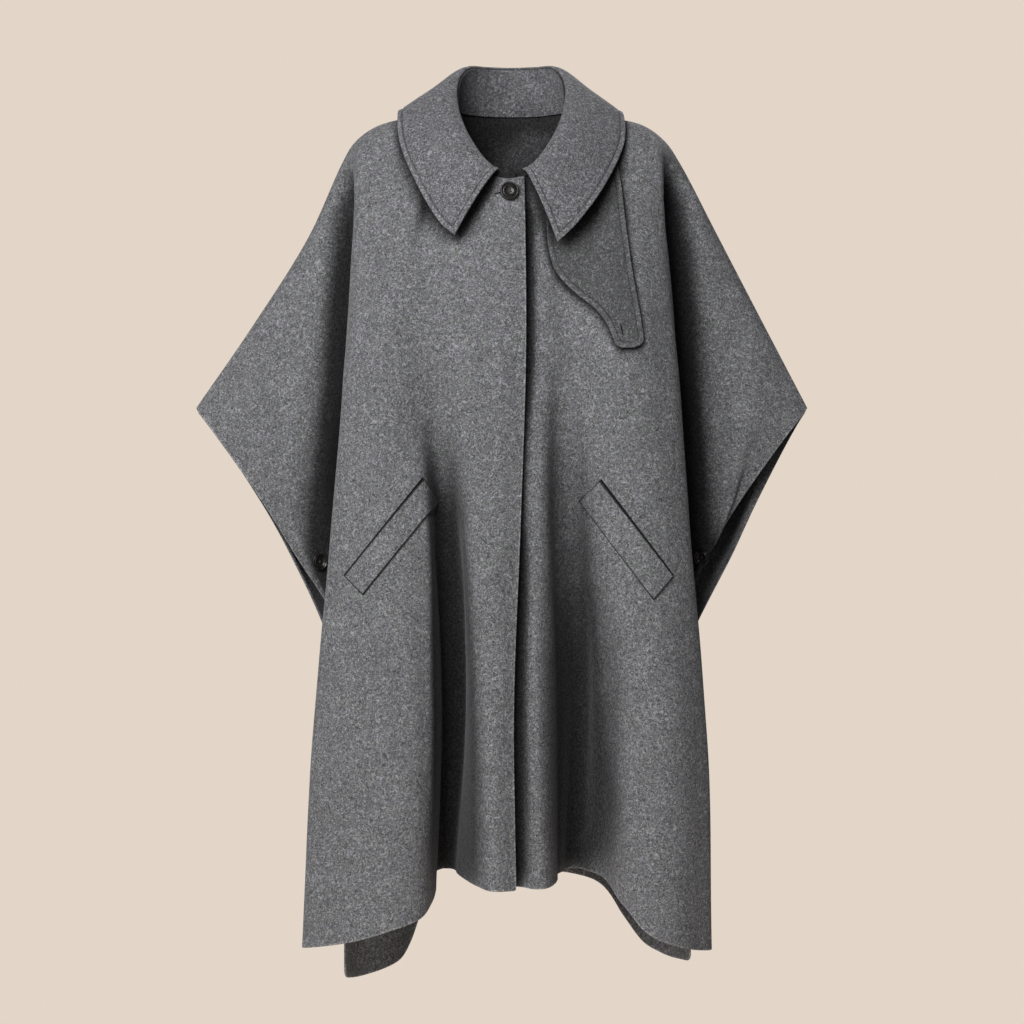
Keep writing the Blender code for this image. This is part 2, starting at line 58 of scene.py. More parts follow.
# %% Camera
SENSOR = 36.0
CAMERA_DISTANCE = 4.2
VIEW_WIDTH = 1.28
camera_data = bpy.data.cameras.new("camera")
camera_data.sensor_width = SENSOR
camera_data.lens = SENSOR * CAMERA_DISTANCE / VIEW_WIDTH
camera = bpy.data.objects.new("camera", camera_data)
camera.location = (0.005, -CAMERA_DISTANCE, -0.4925)
camera.rotation_euler = (math.radians(90), 0.0, 0.0)
bpy.context.scene.collection.objects.link(camera)
bpy.context.scene.camera = camera
print("lens", round(camera_data.lens, 1), "mm")

# %% [markdown]
# Hanging cloth is a set of long smooth lines that swing in and out, so it is drawn that way. Each
# fold line runs from the neck or shoulder to the hem, and a rounded curve joins the lines at every
# height. The curves are cubics with chosen end slopes. NumPy reads whole rows of them at once,
# which keeps a fine mesh quick.

# %% Smooth curves
def hermite(start, end, slope_in, slope_out, share):
    """A cubic from start to end with the given end slopes."""
    square = share * share
    cube = square * share
    return (start * (2 * cube - 3 * square + 1) + slope_in * (cube - 2 * square + share)
            + end * (3 * square - 2 * cube) + slope_out * (cube - square))


def interpolate(table, key, column, at):
    """Read a column of a table at a value of its key, by a smooth curve through the rows."""
    keys = [getattr(row, key) for row in table]
    values = [getattr(row, column) for row in table]
    slot = 0
    while slot < len(keys) - 2 and at > keys[slot + 1]:
        slot += 1
    before = max(slot - 1, 0)
    after = min(slot + 2, len(keys) - 1)
    span = keys[slot + 1] - keys[slot]
    slope_in = (values[slot + 1] - values[before]) / (keys[slot + 1] - keys[before]) * span
    slope_out = (values[after] - values[slot]) / (keys[after] - keys[slot]) * span
    return hermite(values[slot], values[slot + 1], slope_in, slope_out, (at - keys[slot]) / span)


def through(points, shares, start_slope=None):
    """A smooth curve through evenly counted points, at shares of their number."""
    points = np.asarray(points, dtype=float)
    slopes = np.empty_like(points)
    slopes[1:-1] = (points[2:] - points[:-2]) * 0.5
    slopes[0] = points[1] - points[0] if start_slope is None else start_slope
    slopes[-1] = points[-1] - points[-2]
    places = np.asarray(shares, dtype=float) * (len(points) - 1)
    slots = np.minimum(places.astype(int), len(points) - 2)
    share = (places - slots)[:, None]
    return hermite(points[slots], points[slots + 1], slopes[slots], slopes[slots + 1], share)


def spread(rows, steps):
    """Rounded curves across unevenly spaced points, with the same steps between each two."""
    rows = np.asarray(rows, dtype=float)
    first = rows[..., :1, :] * 2 - rows[..., 1:2, :]
    last = rows[..., -1:, :] * 2 - rows[..., -2:-1, :]
    padded = np.concatenate([first, rows, last], axis=-2)
    jumps = padded[..., 1:, :] - padded[..., :-1, :]
    spans = np.sqrt(np.maximum(np.linalg.norm(jumps, axis=-1, keepdims=True), 1e-6))
    tangents = (jumps[..., :-1, :] / spans[..., :-1, :] + jumps[..., 1:, :] / spans[..., 1:, :]
                - (jumps[..., :-1, :] + jumps[..., 1:, :]) / (spans[..., :-1, :] + spans[..., 1:, :]))
    here = rows[..., :-1, None, :]
    there = rows[..., 1:, None, :]
    middle = spans[..., 1:-1, None, :]
    share = (np.arange(steps) / steps)[:, None]
    curve = hermite(here, there, tangents[..., :-1, None, :] * middle,
                    tangents[..., 1:, None, :] * middle, share)
    shape = rows.shape[:-2] + ((rows.shape[-2] - 1) * steps, 3)
    return np.concatenate([curve.reshape(shape), rows[..., -1:, :]], axis=-2)


def unit(vectors):
    """The same vectors at length one."""
    return vectors / np.maximum(np.linalg.norm(vectors, axis=-1, keepdims=True), 1e-12)


# %% [markdown]
# These are the fold lines of the coat, in millimetres, with x to the wearer's left, y to the back
# and z up from the shoulders. They are the same numbers as the CAD solids have, so every soft piece
# lies where its solid does. A row gives where a line passes at a quarter, a half and three quarters
# of its drop, and where it ends at the hem.

# %% Fold lines of the fronts and the back
class FoldLine(NamedTuple):
    """One line of the cloth: its top, (x, y) at each quarter of its drop, (x, y, z) at the hem."""

    name: str
    top: tuple
    chest: tuple
    waist: tuple
    hip: tuple
    hem: tuple


RIGHT_SEAM = {
    "neck side": (-76, 6), "collar": (-128, -3), "panel": (-165, -14), "fold": (-190, -33),
    "groove": (-206, -60), "wing root": (-247, -150), "wing": (-318, -263),
    "wing corner": (-389, -366),
}
LEFT_SEAM = {
    "neck side": (84, 6), "collar": (132, -3), "panel": (168, -12), "fold": (194, -31),
    "groove": (212, -57), "wing root": (259, -147), "wing": (315, -255),
    "wing corner": (373, -366),
}

FRONT_RIGHT_LINES = (
    FoldLine("front edge", ("neck", 192), (22, -148), (15, -155), (7, -155), (10, -152, -949)),
    FoldLine("centre crest", ("neck", 176), (-13, -152), (-15, -161), (-17, -162), (-18, -160, -949)),
    FoldLine("crest side", ("neck", 161), (-45, -148), (-42, -155), (-38, -144), (-38, -130, -945)),
    FoldLine("valley", ("neck", 146), (-84, -137), (-70, -118), (-61, -72), (-80, -48, -934)),
    FoldLine("valley fold", ("neck", 130), (-107, -136), (-96, -140), (-92, -134), (-94, -128, -966)),
    FoldLine("fold turn", ("neck", 112), (-124, -137), (-113, -151), (-108, -158), (-108, -158, -983)),
    FoldLine("panel", ("seam", "neck side"), (-142, -134), (-142, -152), (-143, -166), (-142, -168, -996)),
    FoldLine("panel side", ("seam", "collar"), (-165, -126), (-175, -142), (-185, -154), (-186, -156, -1010)),
    FoldLine("side fold", ("seam", "panel"), (-191, -104), (-212, -120), (-234, -122), (-247, -118, -1022)),
    FoldLine("side turn", ("seam", "fold"), (-187, -76), (-204, -92), (-233, -106), (-246, -104, -1022)),
    FoldLine("groove", ("seam", "groove"), (-183, -44), (-196, -42), (-229, -92), (-241, -92, -1020)),
    FoldLine("wing root", ("seam", "wing root"), (-238, -41), (-221, -40), (-227, -79), (-239, -81, -1018)),
    FoldLine("wing", ("seam", "wing"), (-284, -43), (-211, -34), (-222, -65), (-234, -69, -1017)),
    FoldLine("side edge", ("seam", "wing corner"), (-273, -32), (-192, -26), (-214, -53), (-228, -57, -1016)),
)
FRONT_LEFT_LINES = (
    FoldLine("under edge", ("neck", 190), (-12, -143), (-18, -151), (-24, -151), (-20, -147, -940)),
    FoldLine("front fold", ("neck", 167), (24, -141), (15, -148), (9, -147), (12, -144, -946)),
    FoldLine("crest", ("neck", 157), (44, -138), (38, -149), (36, -151), (44, -148, -947)),
    FoldLine("valley", ("neck", 143), (71, -130), (77, -120), (86, -84), (78, -60, -933)),
    FoldLine("valley side", ("neck", 127), (100, -132), (109, -134), (118, -112), (115, -82, -938)),
    FoldLine("fold turn", ("neck", 110), (126, -134), (139, -148), (145, -145), (140, -132, -968)),
    FoldLine("panel", ("seam", "neck side"), (150, -130), (166, -150), (174, -160), (170, -158, -1001)),
    FoldLine("panel side", ("seam", "collar"), (176, -122), (194, -141), (209, -150), (209, -149, -1018)),
    FoldLine("side fold", ("seam", "panel"), (200, -100), (219, -118), (240, -121), (245, -116, -1025)),
    FoldLine("side turn", ("seam", "fold"), (193, -70), (210, -86), (238, -104), (245, -102, -1024)),
    FoldLine("groove", ("seam", "groove"), (187, -38), (198, -38), (234, -90), (240, -90, -1022)),
    FoldLine("wing root", ("seam", "wing root"), (245, -36), (227, -37), (232, -77), (237, -79, -1020)),
    FoldLine("wing", ("seam", "wing"), (284, -36), (214, -30), (227, -63), (232, -67, -1018)),
    FoldLine("side edge", ("seam", "wing corner"), (257, -30), (195, -24), (219, -52), (225, -56, -1017)),
)
BACK_RIGHT_LINES = (
    FoldLine("side edge", ("seam", "wing corner"), (-270, -22), (-202, -18), (-204, 2), (-203, 0, -1074)),
    FoldLine("wing", ("seam", "wing"), (-290, 14), (-214, 8), (-206, 18), (-197, 18, -1077)),
    FoldLine("wing root", ("seam", "wing root"), (-244, 36), (-224, 42), (-208, 38), (-185, 32, -1077)),
    FoldLine("groove", ("seam", "groove"), (-198, 46), (-206, 58), (-190, 54), (-154, 50, -1069)),
    FoldLine("side turn", ("seam", "fold"), (-196, 72), (-206, 86), (-182, 76), (-136, 64, -1060)),
    FoldLine("side fold", ("seam", "panel"), (-188, 96), (-200, 114), (-172, 104), (-124, 84, -1042)),
    FoldLine("panel", ("seam", "collar"), (-162, 116), (-172, 138), (-156, 138), (-115, 112, -1016)),
    FoldLine("valley", ("seam", "neck side"), (-126, 122), (-134, 141), (-128, 152), (-108, 150, -972)),
    FoldLine("crest", ("neck", 52), (-84, 130), (-90, 154), (-88, 170), (-74, 178, -951)),
    FoldLine("dip", ("neck", 26), (-42, 128), (-44, 144), (-42, 148), (-36, 140, -947)),
)
BACK_CENTRE_LINE = FoldLine("centre", ("neck", 0), (0, 129), (2, 149), (4, 160), (4, 158, -950))
BACK_LEFT_LINES = (
    FoldLine("dip", ("neck", 26), (44, 128), (46, 146), (48, 146), (42, 134, -955)),
    FoldLine("crest", ("neck", 52), (86, 130), (92, 154), (94, 168), (82, 168, -962)),
    FoldLine("valley", ("seam", "neck side"), (128, 121), (138, 140), (138, 146), (118, 136, -972)),
    FoldLine("panel", ("seam", "collar"), (164, 114), (176, 136), (174, 132), (146, 104, -1008)),
    FoldLine("side fold", ("seam", "panel"), (190, 94), (204, 112), (196, 98), (172, 76, -1040)),
    FoldLine("side turn", ("seam", "fold"), (198, 70), (210, 84), (206, 72), (192, 56, -1050)),
    FoldLine("groove", ("seam", "groove"), (204, 44), (211, 56), (211, 50), (206, 40, -1054)),
    FoldLine("wing root", ("seam", "wing root"), (254, 34), (228, 38), (216, 34), (217, 26, -1055)),
    FoldLine("wing", ("seam", "wing"), (300, 14), (216, 8), (214, 16), (223, 14, -1055)),
    FoldLine("side edge", ("seam", "wing corner"), (281, -19), (205, -15), (212, 2), (228, 2, -1054)),
)
print(len(FRONT_RIGHT_LINES), "lines on the right front,", len(FRONT_LEFT_LINES), "on the left,",
      len(BACK_RIGHT_LINES) + len(BACK_LEFT_LINES) + 1, "on the back")

# %% [markdown]
# The collar is drawn at angles round the neck, from the centre back to each front end. A station
# gives how high the neck seam and the roll line are there, and where the leaf's outer edge lies.

# %% Collar stations and the neck
class CollarStation(NamedTuple):
    """The collar at one angle round the neck: heights in mm and the leaf's outer edge."""

    angle: float
    seam_z: float
    roll_z: float
    edge_x: float
    edge_y: float
    edge_z: float


COLLAR_RIGHT = (
    CollarStation(0, 9, 69, 4, 118, -30),
    CollarStation(25, 9, 69, -48, 112, -27),
    CollarStation(50, 10, 67, -94, 86, -20),
    CollarStation(72, 9, 51, -126, 44, -6),
    CollarStation(90, 6, 28, -137, 0, 6),
    CollarStation(108, -14, 0, -132, -58, -42),
    CollarStation(132, -50, -37, -107, -100, -100),
    CollarStation(153, -76, -66, -83, -130, -141),
    CollarStation(174, -86, -77, -64, -140, -159),
)
COLLAR_LEFT = (
    CollarStation(0, 9, 69, 4, 118, -30),
    CollarStation(25, 9, 69, 56, 112, -27),
    CollarStation(50, 10, 67, 100, 86, -20),
    CollarStation(72, 9, 51, 131, 44, -6),
    CollarStation(90, 6, 28, 143, 0, 4),
    CollarStation(108, -14, 0, 143, -48, -38),
    CollarStation(132, -50, -37, 116, -105, -98),
    CollarStation(153, -76, -66, 84, -132, -143),
    CollarStation(174, -86, -77, 60, -140, -167),
)
NECK_CENTRE_X = 0.004
NECK = (0.080, 0.078, 0.114)
ROLL = (0.068, 0.073, 0.113)
FRONT_NECK_ANGLE = 174.0
UNDERLAP_ANGLE = 165.0
UNDERLAP_DEPTH = 0.006


def ring_point(angle, side, ring, column):
    """A point of a ring round the neck; side is -1 on the wearer's right."""
    half_width, back_depth, front_depth = ring
    turn = math.radians(angle)
    depth = back_depth if math.cos(turn) > 0 else front_depth
    table = COLLAR_RIGHT if side < 0 else COLLAR_LEFT
    height = interpolate(table, "angle", column, 180 - abs(180 - angle)) * MM
    return np.array([NECK_CENTRE_X + side * half_width * math.sin(turn), depth * math.cos(turn), height])


def neck_point(angle, side):
    """A point of the neck seam."""
    return ring_point(angle, side, NECK, "seam_z")


def roll_point(angle, side):
    """A point of the line over which the collar turns."""
    return ring_point(angle, side, ROLL, "roll_z")


print("neck opening in mm:", round(2 * NECK[0] / MM), "wide,", round((NECK[1] + NECK[2]) / MM), "deep")

# %% [markdown]
# A panel is one row of points for each height, from the seam to the hem. The first two rows are the
# sewn edge: a narrow land that meets its neighbour across the shoulder, as a pressed seam does.

# %% A panel's rows of points
WALL = 0.0025
SEAM_GAP = 0.0003
SEAM_LAND = 0.003
NECK_LAND_DROP = 0.012
NECK_LAND_SHARE = 0.6
SHOULDER_ROLL = 0.19
WING_ROLL = 0.075
ROLL_CHANGE_START = 0.03
ROLL_CHANGE_DEPTH = 0.12
PANEL_ROWS = 150
ROW_SPACING = 1.25
FIRST_DROP = 0.0125


class Panel:
    """A front or the back: its fold lines as curves, and its grid of points."""

    def __init__(self, parts, towards, steps):
        """Read the fold lines of each part, then lay the grid over them."""
        self.towards = towards
        self.steps = steps
        self.tops = []
        self.on_seam = []
        self.curves = []
        self.slopes = []
        for rows, side, seam in parts:
            for row in rows:
                self.add_line(row, side, seam)
        drops = [(row / PANEL_ROWS) ** ROW_SPACING for row in range(1, PANEL_ROWS + 1)]
        self.drops = np.array([drop for drop in drops if drop > FIRST_DROP])
        self.grid = self.make_grid()

    def add_line(self, row, side, seam):
        """Turn a row of the table into a curve that starts on the neck or the shoulder."""
        kind, value = row.top
        if kind == "neck":
            top = neck_point(value, side)
            if side > 0 and value > UNDERLAP_ANGLE:
                top[1] += UNDERLAP_DEPTH
        else:
            top = np.array([seam[value][0] * MM, 0.0, seam[value][1] * MM])
        hem = np.array(row.hem) * MM
        points = [top]
        for share, place in ((0.25, row.chest), (0.5, row.waist), (0.75, row.hip)):
            points.append(np.array([place[0] * MM, place[1] * MM, top[2] + (hem[2] - top[2]) * share]))
        points.append(hem)
        slope = None
        if kind == "seam":
            share = min(max((-top[2] - ROLL_CHANGE_START) / ROLL_CHANGE_DEPTH, 0.0), 1.0)
            roll = SHOULDER_ROLL + (WING_ROLL - SHOULDER_ROLL) * share
            chord = points[1] - top
            slope = np.array([chord[0] * 0.35, self.towards * roll, chord[2] * 0.25])
        self.tops.append(top)
        self.on_seam.append(kind == "seam")
        self.curves.append(points)
        self.slopes.append(slope)

    def rows_at(self, drops):
        """Rows of points across the panel at shares of its drop."""
        lines = [through(points, drops, slope) for points, slope in zip(self.curves, self.slopes)]
        return spread(np.stack(lines, axis=1), self.steps)

    def seam_row(self, inset):
        """The top edge: the neck and each shoulder are curves of their own."""
        runs = [[0]]
        for index in range(1, len(self.tops)):
            rising = self.on_seam[index] and not self.on_seam[index - 1]
            falling = self.on_seam[index - 1] and not self.on_seam[index]
            if rising:
                runs[-1].append(index)
                runs.append([index])
            elif falling:
                runs.append([index - 1, index])
            else:
                runs[-1].append(index)
        pieces = []
        flags = []
        for run in runs:
            if len(run) < 2:
                continue
            row = spread(np.array([self.tops[index] for index in run]), self.steps)[:-1]
            on_seam = all(self.on_seam[index] for index in run)
            if on_seam:
                row = row + np.array([0.0, self.towards * inset, 0.0])
            pieces.append(row)
            flags += [on_seam] * len(row)
        last = np.array(self.tops[-1])
        if self.on_seam[-1]:
            last = last + np.array([0.0, self.towards * inset, 0.0])
        pieces.append(last[None, :])
        flags.append(self.on_seam[-1])
        return np.concatenate(pieces), np.array(flags)

    def make_grid(self):
        """The edge, the land inside it, and a row of points at every drop."""
        edge, flags = self.seam_row(SEAM_GAP / 2)
        land, _ = self.seam_row(SEAM_LAND)
        below = self.rows_at(np.array([NECK_LAND_DROP]))[0]
        neck_land = edge + (below - edge) * NECK_LAND_SHARE
        land = np.where(flags[:, None], land, neck_land)
        return np.concatenate([edge[None], land[None], self.rows_at(self.drops)])

    def point(self, place, drop):
        """The point of the grid at a fold line count and a share of the drop."""
        row = np.interp(drop, self.drops, np.arange(len(self.drops))) + 2
        column = place * self.steps
        top = min(int(row), len(self.grid) - 2)
        left = min(int(column), self.grid.shape[1] - 2)
        down = row - top
        right = column - left
        upper = self.grid[top, left] * (1 - right) + self.grid[top, left + 1] * right
        lower = self.grid[top + 1, left] * (1 - right) + self.grid[top + 1, left + 1] * right
        return upper * (1 - down) + lower * down


FRONT_STEPS = 9
BACK_STEPS = 7
front_right = Panel([(FRONT_RIGHT_LINES, -1, RIGHT_SEAM)], -1, FRONT_STEPS)
front_left = Panel([(FRONT_LEFT_LINES, 1, LEFT_SEAM)], -1, FRONT_STEPS)
back = Panel([(BACK_RIGHT_LINES, -1, RIGHT_SEAM), ((BACK_CENTRE_LINE,), -1, RIGHT_SEAM),
              (BACK_LEFT_LINES, 1, LEFT_SEAM)], 1, BACK_STEPS)
for name, panel in (("front_right", front_right), ("front_left", front_left), ("back", back)):
    print(name, panel.grid.shape[0], "rows of", panel.grid.shape[1], "points")

# %% [markdown]
# The solids keep gentle folds, and real wool falls deeper in a few places: a groove beside each
# wing and the valleys of the fronts. Those are the first rows of the two front tables. The other
# rows are small troughs and ridges, where the cloth is pulled by the collar, the pockets and the
# side buttons. A cloth simulation would put them anywhere, so they are listed one by one. Each is a
# path over the panel with a width and a height. It fades in at its start, and fades out at its end
# unless it runs off the hem. A slow noise adds the slight unevenness of a heavy cloth.

# %% Creases
class Crease(NamedTuple):
    """A soft trough or ridge through three places on a panel, as (fold line count, share of drop).

    Its width and height are in mm. Lead is the share of its path over which it fades in.
    """

    start: tuple
    middle: tuple
    end: tuple
    width: float
    height: float
    lead: float = 0.35


RIGHT_CREASES = (
    Crease((10.10, 0.00), (10.20, 0.25), (10.90, 0.60), 18, -32.0, 0.04),
    Crease((8.50, 0.00), (8.60, 0.25), (8.60, 0.60), 9, 5.0, 0.10),
    Crease((3.40, 0.30), (3.42, 0.66), (3.40, 1.02), 14, -11.0),
    Crease((2.85, 0.40), (2.80, 0.70), (2.80, 1.02), 18, -7.0),
    Crease((4.30, 0.34), (4.35, 0.66), (4.35, 1.00), 8, 5.5),
    Crease((6.4, 0.04), (6.1, 0.13), (5.6, 0.27), 16, -1.8),
    Crease((7.3, 0.10), (7.2, 0.24), (7.1, 0.42), 15, -1.4),
    Crease((6.9, 0.22), (6.6, 0.36), (6.3, 0.52), 20, 1.5),
    Crease((4.9, 0.38), (5.6, 0.44), (6.4, 0.47), 12, -1.3),
    Crease((6.5, 0.62), (6.4, 0.80), (6.5, 1.02), 24, -2.0),
    Crease((7.5, 0.58), (7.4, 0.78), (7.3, 1.02), 20, 1.9),
    Crease((1.6, 0.10), (2.0, 0.22), (2.2, 0.40), 14, 1.2),
    Crease((0.9, 0.45), (1.1, 0.62), (1.0, 0.85), 12, 0.9),
    Crease((11.5, 0.05), (11.7, 0.18), (11.9, 0.34), 18, -2.2),
    Crease((12.2, 0.04), (12.3, 0.20), (12.3, 0.42), 16, 1.7),
    Crease((11.8, 0.38), (12.3, 0.28), (12.8, 0.15), 11, -1.8),
    Crease((12.0, 0.42), (12.5, 0.47), (12.9, 0.55), 9, 1.2),
)
LEFT_CREASES = (
    Crease((10.10, 0.00), (10.20, 0.25), (10.85, 0.60), 22, -36.0, 0.04),
    Crease((8.50, 0.00), (8.60, 0.25), (8.60, 0.60), 9, 5.0, 0.10),
    Crease((3.05, 0.20), (3.05, 0.60), (3.05, 1.02), 16, -10.0),
    Crease((2.50, 0.20), (2.60, 0.60), (2.60, 1.02), 14, -9.0),
    Crease((1.00, 0.03), (1.02, 0.18), (1.05, 0.46), 12, -10.0, 0.10),
    Crease((1.05, 0.38), (1.08, 0.72), (1.08, 1.02), 12, -10.0),
    Crease((6.5, 0.04), (6.3, 0.14), (5.9, 0.30), 16, -1.6),
    Crease((7.2, 0.16), (7.2, 0.30), (7.0, 0.46), 18, -1.5),
    Crease((5.4, 0.46), (6.0, 0.42), (6.7, 0.40), 12, -1.1),
    Crease((5.2, 0.20), (4.9, 0.34), (4.6, 0.50), 18, 1.3),
    Crease((6.9, 0.60), (6.8, 0.78), (6.9, 1.02), 22, 2.0),
    Crease((7.7, 0.62), (7.6, 0.80), (7.6, 1.02), 18, -1.6),
    Crease((5.5, 0.66), (5.5, 0.84), (5.4, 1.02), 20, -1.5),
    Crease((11.4, 0.05), (11.6, 0.18), (11.8, 0.33), 18, -2.0),
    Crease((12.1, 0.05), (12.3, 0.20), (12.5, 0.40), 17, 1.6),
    Crease((11.7, 0.38), (12.2, 0.27), (12.7, 0.16), 11, -1.7),
    Crease((12.0, 0.42), (12.4, 0.48), (12.9, 0.54), 9, 1.1),
)
BACK_CREASES = (
    Crease((1.3, 0.06), (1.5, 0.20), (1.8, 0.36), 18, -2.0),
    Crease((0.8, 0.10), (0.9, 0.24), (1.2, 0.40), 15, 1.5),
    Crease((1.2, 0.39), (0.8, 0.28), (0.4, 0.16), 11, -1.6),
    Crease((6.6, 0.05), (6.9, 0.18), (7.3, 0.34), 18, -1.8),
    Crease((7.7, 0.08), (7.9, 0.24), (7.8, 0.46), 20, 1.6),
    Crease((8.8, 0.12), (9.0, 0.36), (9.1, 0.62), 18, -1.5),
    Crease((10.3, 0.06), (10.2, 0.30), (10.4, 0.60), 20, 1.3),
    Crease((11.2, 0.16), (11.0, 0.40), (11.1, 0.66), 18, -1.7),
    Crease((12.4, 0.10), (12.3, 0.28), (12.5, 0.50), 20, 1.7),
    Crease((13.4, 0.05), (13.1, 0.20), (12.8, 0.38), 18, -1.8),
    Crease((6.4, 0.60), (6.5, 0.80), (6.4, 1.02), 22, -2.0),
    Crease((9.5, 0.66), (9.5, 0.84), (9.6, 1.02), 18, 1.6),
    Crease((10.9, 0.70), (10.9, 0.86), (10.8, 1.02), 18, -1.6),
    Crease((13.5, 0.60), (13.6, 0.80), (13.5, 1.02), 22, 1.8),
    Crease((18.6, 0.06), (18.4, 0.20), (18.2, 0.36), 18, -2.0),
    Crease((19.2, 0.10), (19.0, 0.24), (18.8, 0.40), 15, 1.5),
    Crease((18.8, 0.39), (19.2, 0.28), (19.6, 0.16), 11, -1.6),
)


def distance_to_path(points, path):
    """For each point, how far it is from a path, and the share of the path that is nearest."""
    best = np.full(points.shape[:-1], 1e9)
    share = np.zeros(points.shape[:-1])
    count = len(path) - 1
    for index in range(count):
        along = path[index + 1] - path[index]
        square = max(float(along @ along), 1e-12)
        place = np.clip(((points - path[index]) @ along) / square, 0.0, 1.0)
        gap = np.linalg.norm(points - path[index] - place[..., None] * along, axis=-1)
        nearer = gap < best
        best = np.where(nearer, gap, best)
        share = np.where(nearer, (index + place) / count, share)
    return best, share


def fade(values, low, high):
    """A soft step from 0 at low to 1 at high."""
    share = np.clip((values - low) / (high - low), 0.0, 1.0)
    return share * share * (3 - 2 * share)


def normals_of(grid, outside):
    """The outward direction at each point of a grid."""
    facing = unit(np.cross(np.gradient(grid, axis=1), np.gradient(grid, axis=0)))
    if (facing @ np.array(outside)).sum() < 0:
        facing = -facing
    return facing


UNEVENNESS = 0.0007
UNEVEN_SCALE = 11.0
PATH_STEPS = 13
CREASE_TAIL = 0.65
SEWN_DROPS = (0.005, 0.06)


def crease_panel(panel, creases, outside):
    """Raise the ridges and press the troughs of a panel, away from its sewn edges."""
    grid = panel.grid
    relief = np.zeros(grid.shape[:2])
    for crease in creases:
        places = through([crease.start, crease.middle, crease.end], np.linspace(0.0, 1.0, PATH_STEPS))
        path = np.array([panel.point(place, min(drop, 1.0)) for place, drop in places])
        gap, share = distance_to_path(grid, path)
        ends = fade(share, 0.0, crease.lead)
        if crease.end[1] <= 1.0:
            ends = ends * (1 - fade(share, CREASE_TAIL, 1.0))
        relief += crease.height * MM * ends * np.exp(-(gap / (crease.width * MM)) ** 2)
    flat = grid.reshape(-1, 3)
    slow = np.array([noise.noise(Vector(point) * UNEVEN_SCALE) for point in flat])
    relief += UNEVENNESS * slow.reshape(relief.shape)
    drops = np.concatenate([[0.0, 0.0], panel.drops])
    relief_share = fade(drops, *SEWN_DROPS)[:, None]
    panel.grid = grid + normals_of(grid, outside) * (relief * relief_share)[..., None]
    print("relief from", round(relief.min() / MM, 1), "to", round(relief.max() / MM, 1), "mm")


FRONT = (0.0, -1.0, 0.0)
BACK = (0.0, 1.0, 0.0)
crease_panel(front_right, RIGHT_CREASES, FRONT)
crease_panel(front_left, LEFT_CREASES, FRONT)
crease_panel(back, BACK_CREASES, BACK)

# %% [markdown]
# The cloth is felted wool, a mix of dark, middle and pale fibres with a slight violet cast. From
# arm's length it reads as short curly flecks. An image of cloth would repeat, so the flecks come
# from noise: a ridged noise has thin winding crests, and a second noise breaks them into short
# lengths. The effect is one node group, since the body, the collar and the trims all use it with
# their own values. Two values stored on each mesh steer it. The distance to the cloth's edge
# paints a highlight on the pressed edges, shade along the welts' edges and shade in the stitched
# groove. The depth of the fold, which is found further down, paints shade into the wool there.

# %% Node helpers
def maths(tree, operation, first, second):
    """A Math node of two values, each a number or a socket."""
    node = tree.nodes.new("ShaderNodeMath")
    node.operation = operation
    for index, value in enumerate((first, second)):
        if isinstance(value, bpy.types.NodeSocket):
            tree.links.new(value, node.inputs[index])
        else:
            node.inputs[index].default_value = value
    return node.outputs[0]


def soft_step(tree, value, low, high, to_low=0.0, to_high=1.0):
    """A Map Range node that runs smoothly between two values."""
    node = tree.nodes.new("ShaderNodeMapRange")
    node.interpolation_type = "SMOOTHSTEP"
    for name, number in (("From Min", low), ("From Max", high), ("To Min", to_low), ("To Max", to_high)):
        if isinstance(number, bpy.types.NodeSocket):
            tree.links.new(number, node.inputs[name])
        else:
            node.inputs[name].default_value = number
    tree.links.new(value, node.inputs["Value"])
    return node.outputs["Result"]


def blend_colours(tree, share, first, second):
    """A Mix node of two colours."""
    node = tree.nodes.new("ShaderNodeMix")
    node.data_type = "RGBA"
    for index, value in ((0, share), (6, first), (7, second)):
        if isinstance(value, bpy.types.NodeSocket):
            tree.links.new(value, node.inputs[index])
        else:
            node.inputs[index].default_value = value
    return node.outputs[2]


def add_noise(tree, vector, scale, detail=2.0, distortion=0.0):
    """A noise texture on a vector, at a scale in features per metre."""
    node = tree.nodes.new("ShaderNodeTexNoise")
    tree.links.new(vector, node.inputs["Vector"])
    node.inputs["Scale"].default_value = scale
    node.inputs["Detail"].default_value = detail
    node.inputs["Distortion"].default_value = distortion
    return node.outputs[0]


def shifted(tree, vector, offset, scale=(1.0, 1.0, 1.0)):
    """The same coordinates moved and stretched, so that two noises differ."""
    node = tree.nodes.new("ShaderNodeMapping")
    tree.links.new(vector, node.inputs["Vector"])
    node.inputs["Location"].default_value = offset
    node.inputs["Scale"].default_value = scale
    return node.outputs["Vector"]


def new_group(name, inputs, outputs):
    """An empty shader node group with named sockets."""
    group = bpy.data.node_groups.new(name, "ShaderNodeTree")
    for label, kind, value in inputs:
        socket = group.interface.new_socket(label, in_out="INPUT", socket_type=kind)
        socket.default_value = value
    for label, kind in outputs:
        group.interface.new_socket(label, in_out="OUTPUT", socket_type=kind)
    return group, group.nodes.new("NodeGroupInput"), group.nodes.new("NodeGroupOutput")


# %% Felted wool group
FIBRE_LAYERS = (
    ("pale", (0.0, 0.0, 0.0), 210.0, 0.085),
    ("dark", (3.1, 1.7, 5.3), 230.0, 0.085),
    ("pale", (6.2, 4.9, 1.1), 380.0, 0.120),
    ("dark", (9.4, 0.6, 7.5), 360.0, 0.120),
)
GRAIN_SCALE = 620.0
CLOUD_SCALE = 38.0
BEND_SCALE = 160.0
BEND_REACH = 0.007
TINT_SCALE = 150.0
# Painted shade: how far the stored fold depth darkens the wool's colour, and over what depths.
PAINTED_FOLD_SHADE = 0.13
PAINTED_FOLD_RANGE = (0.08, 0.54)


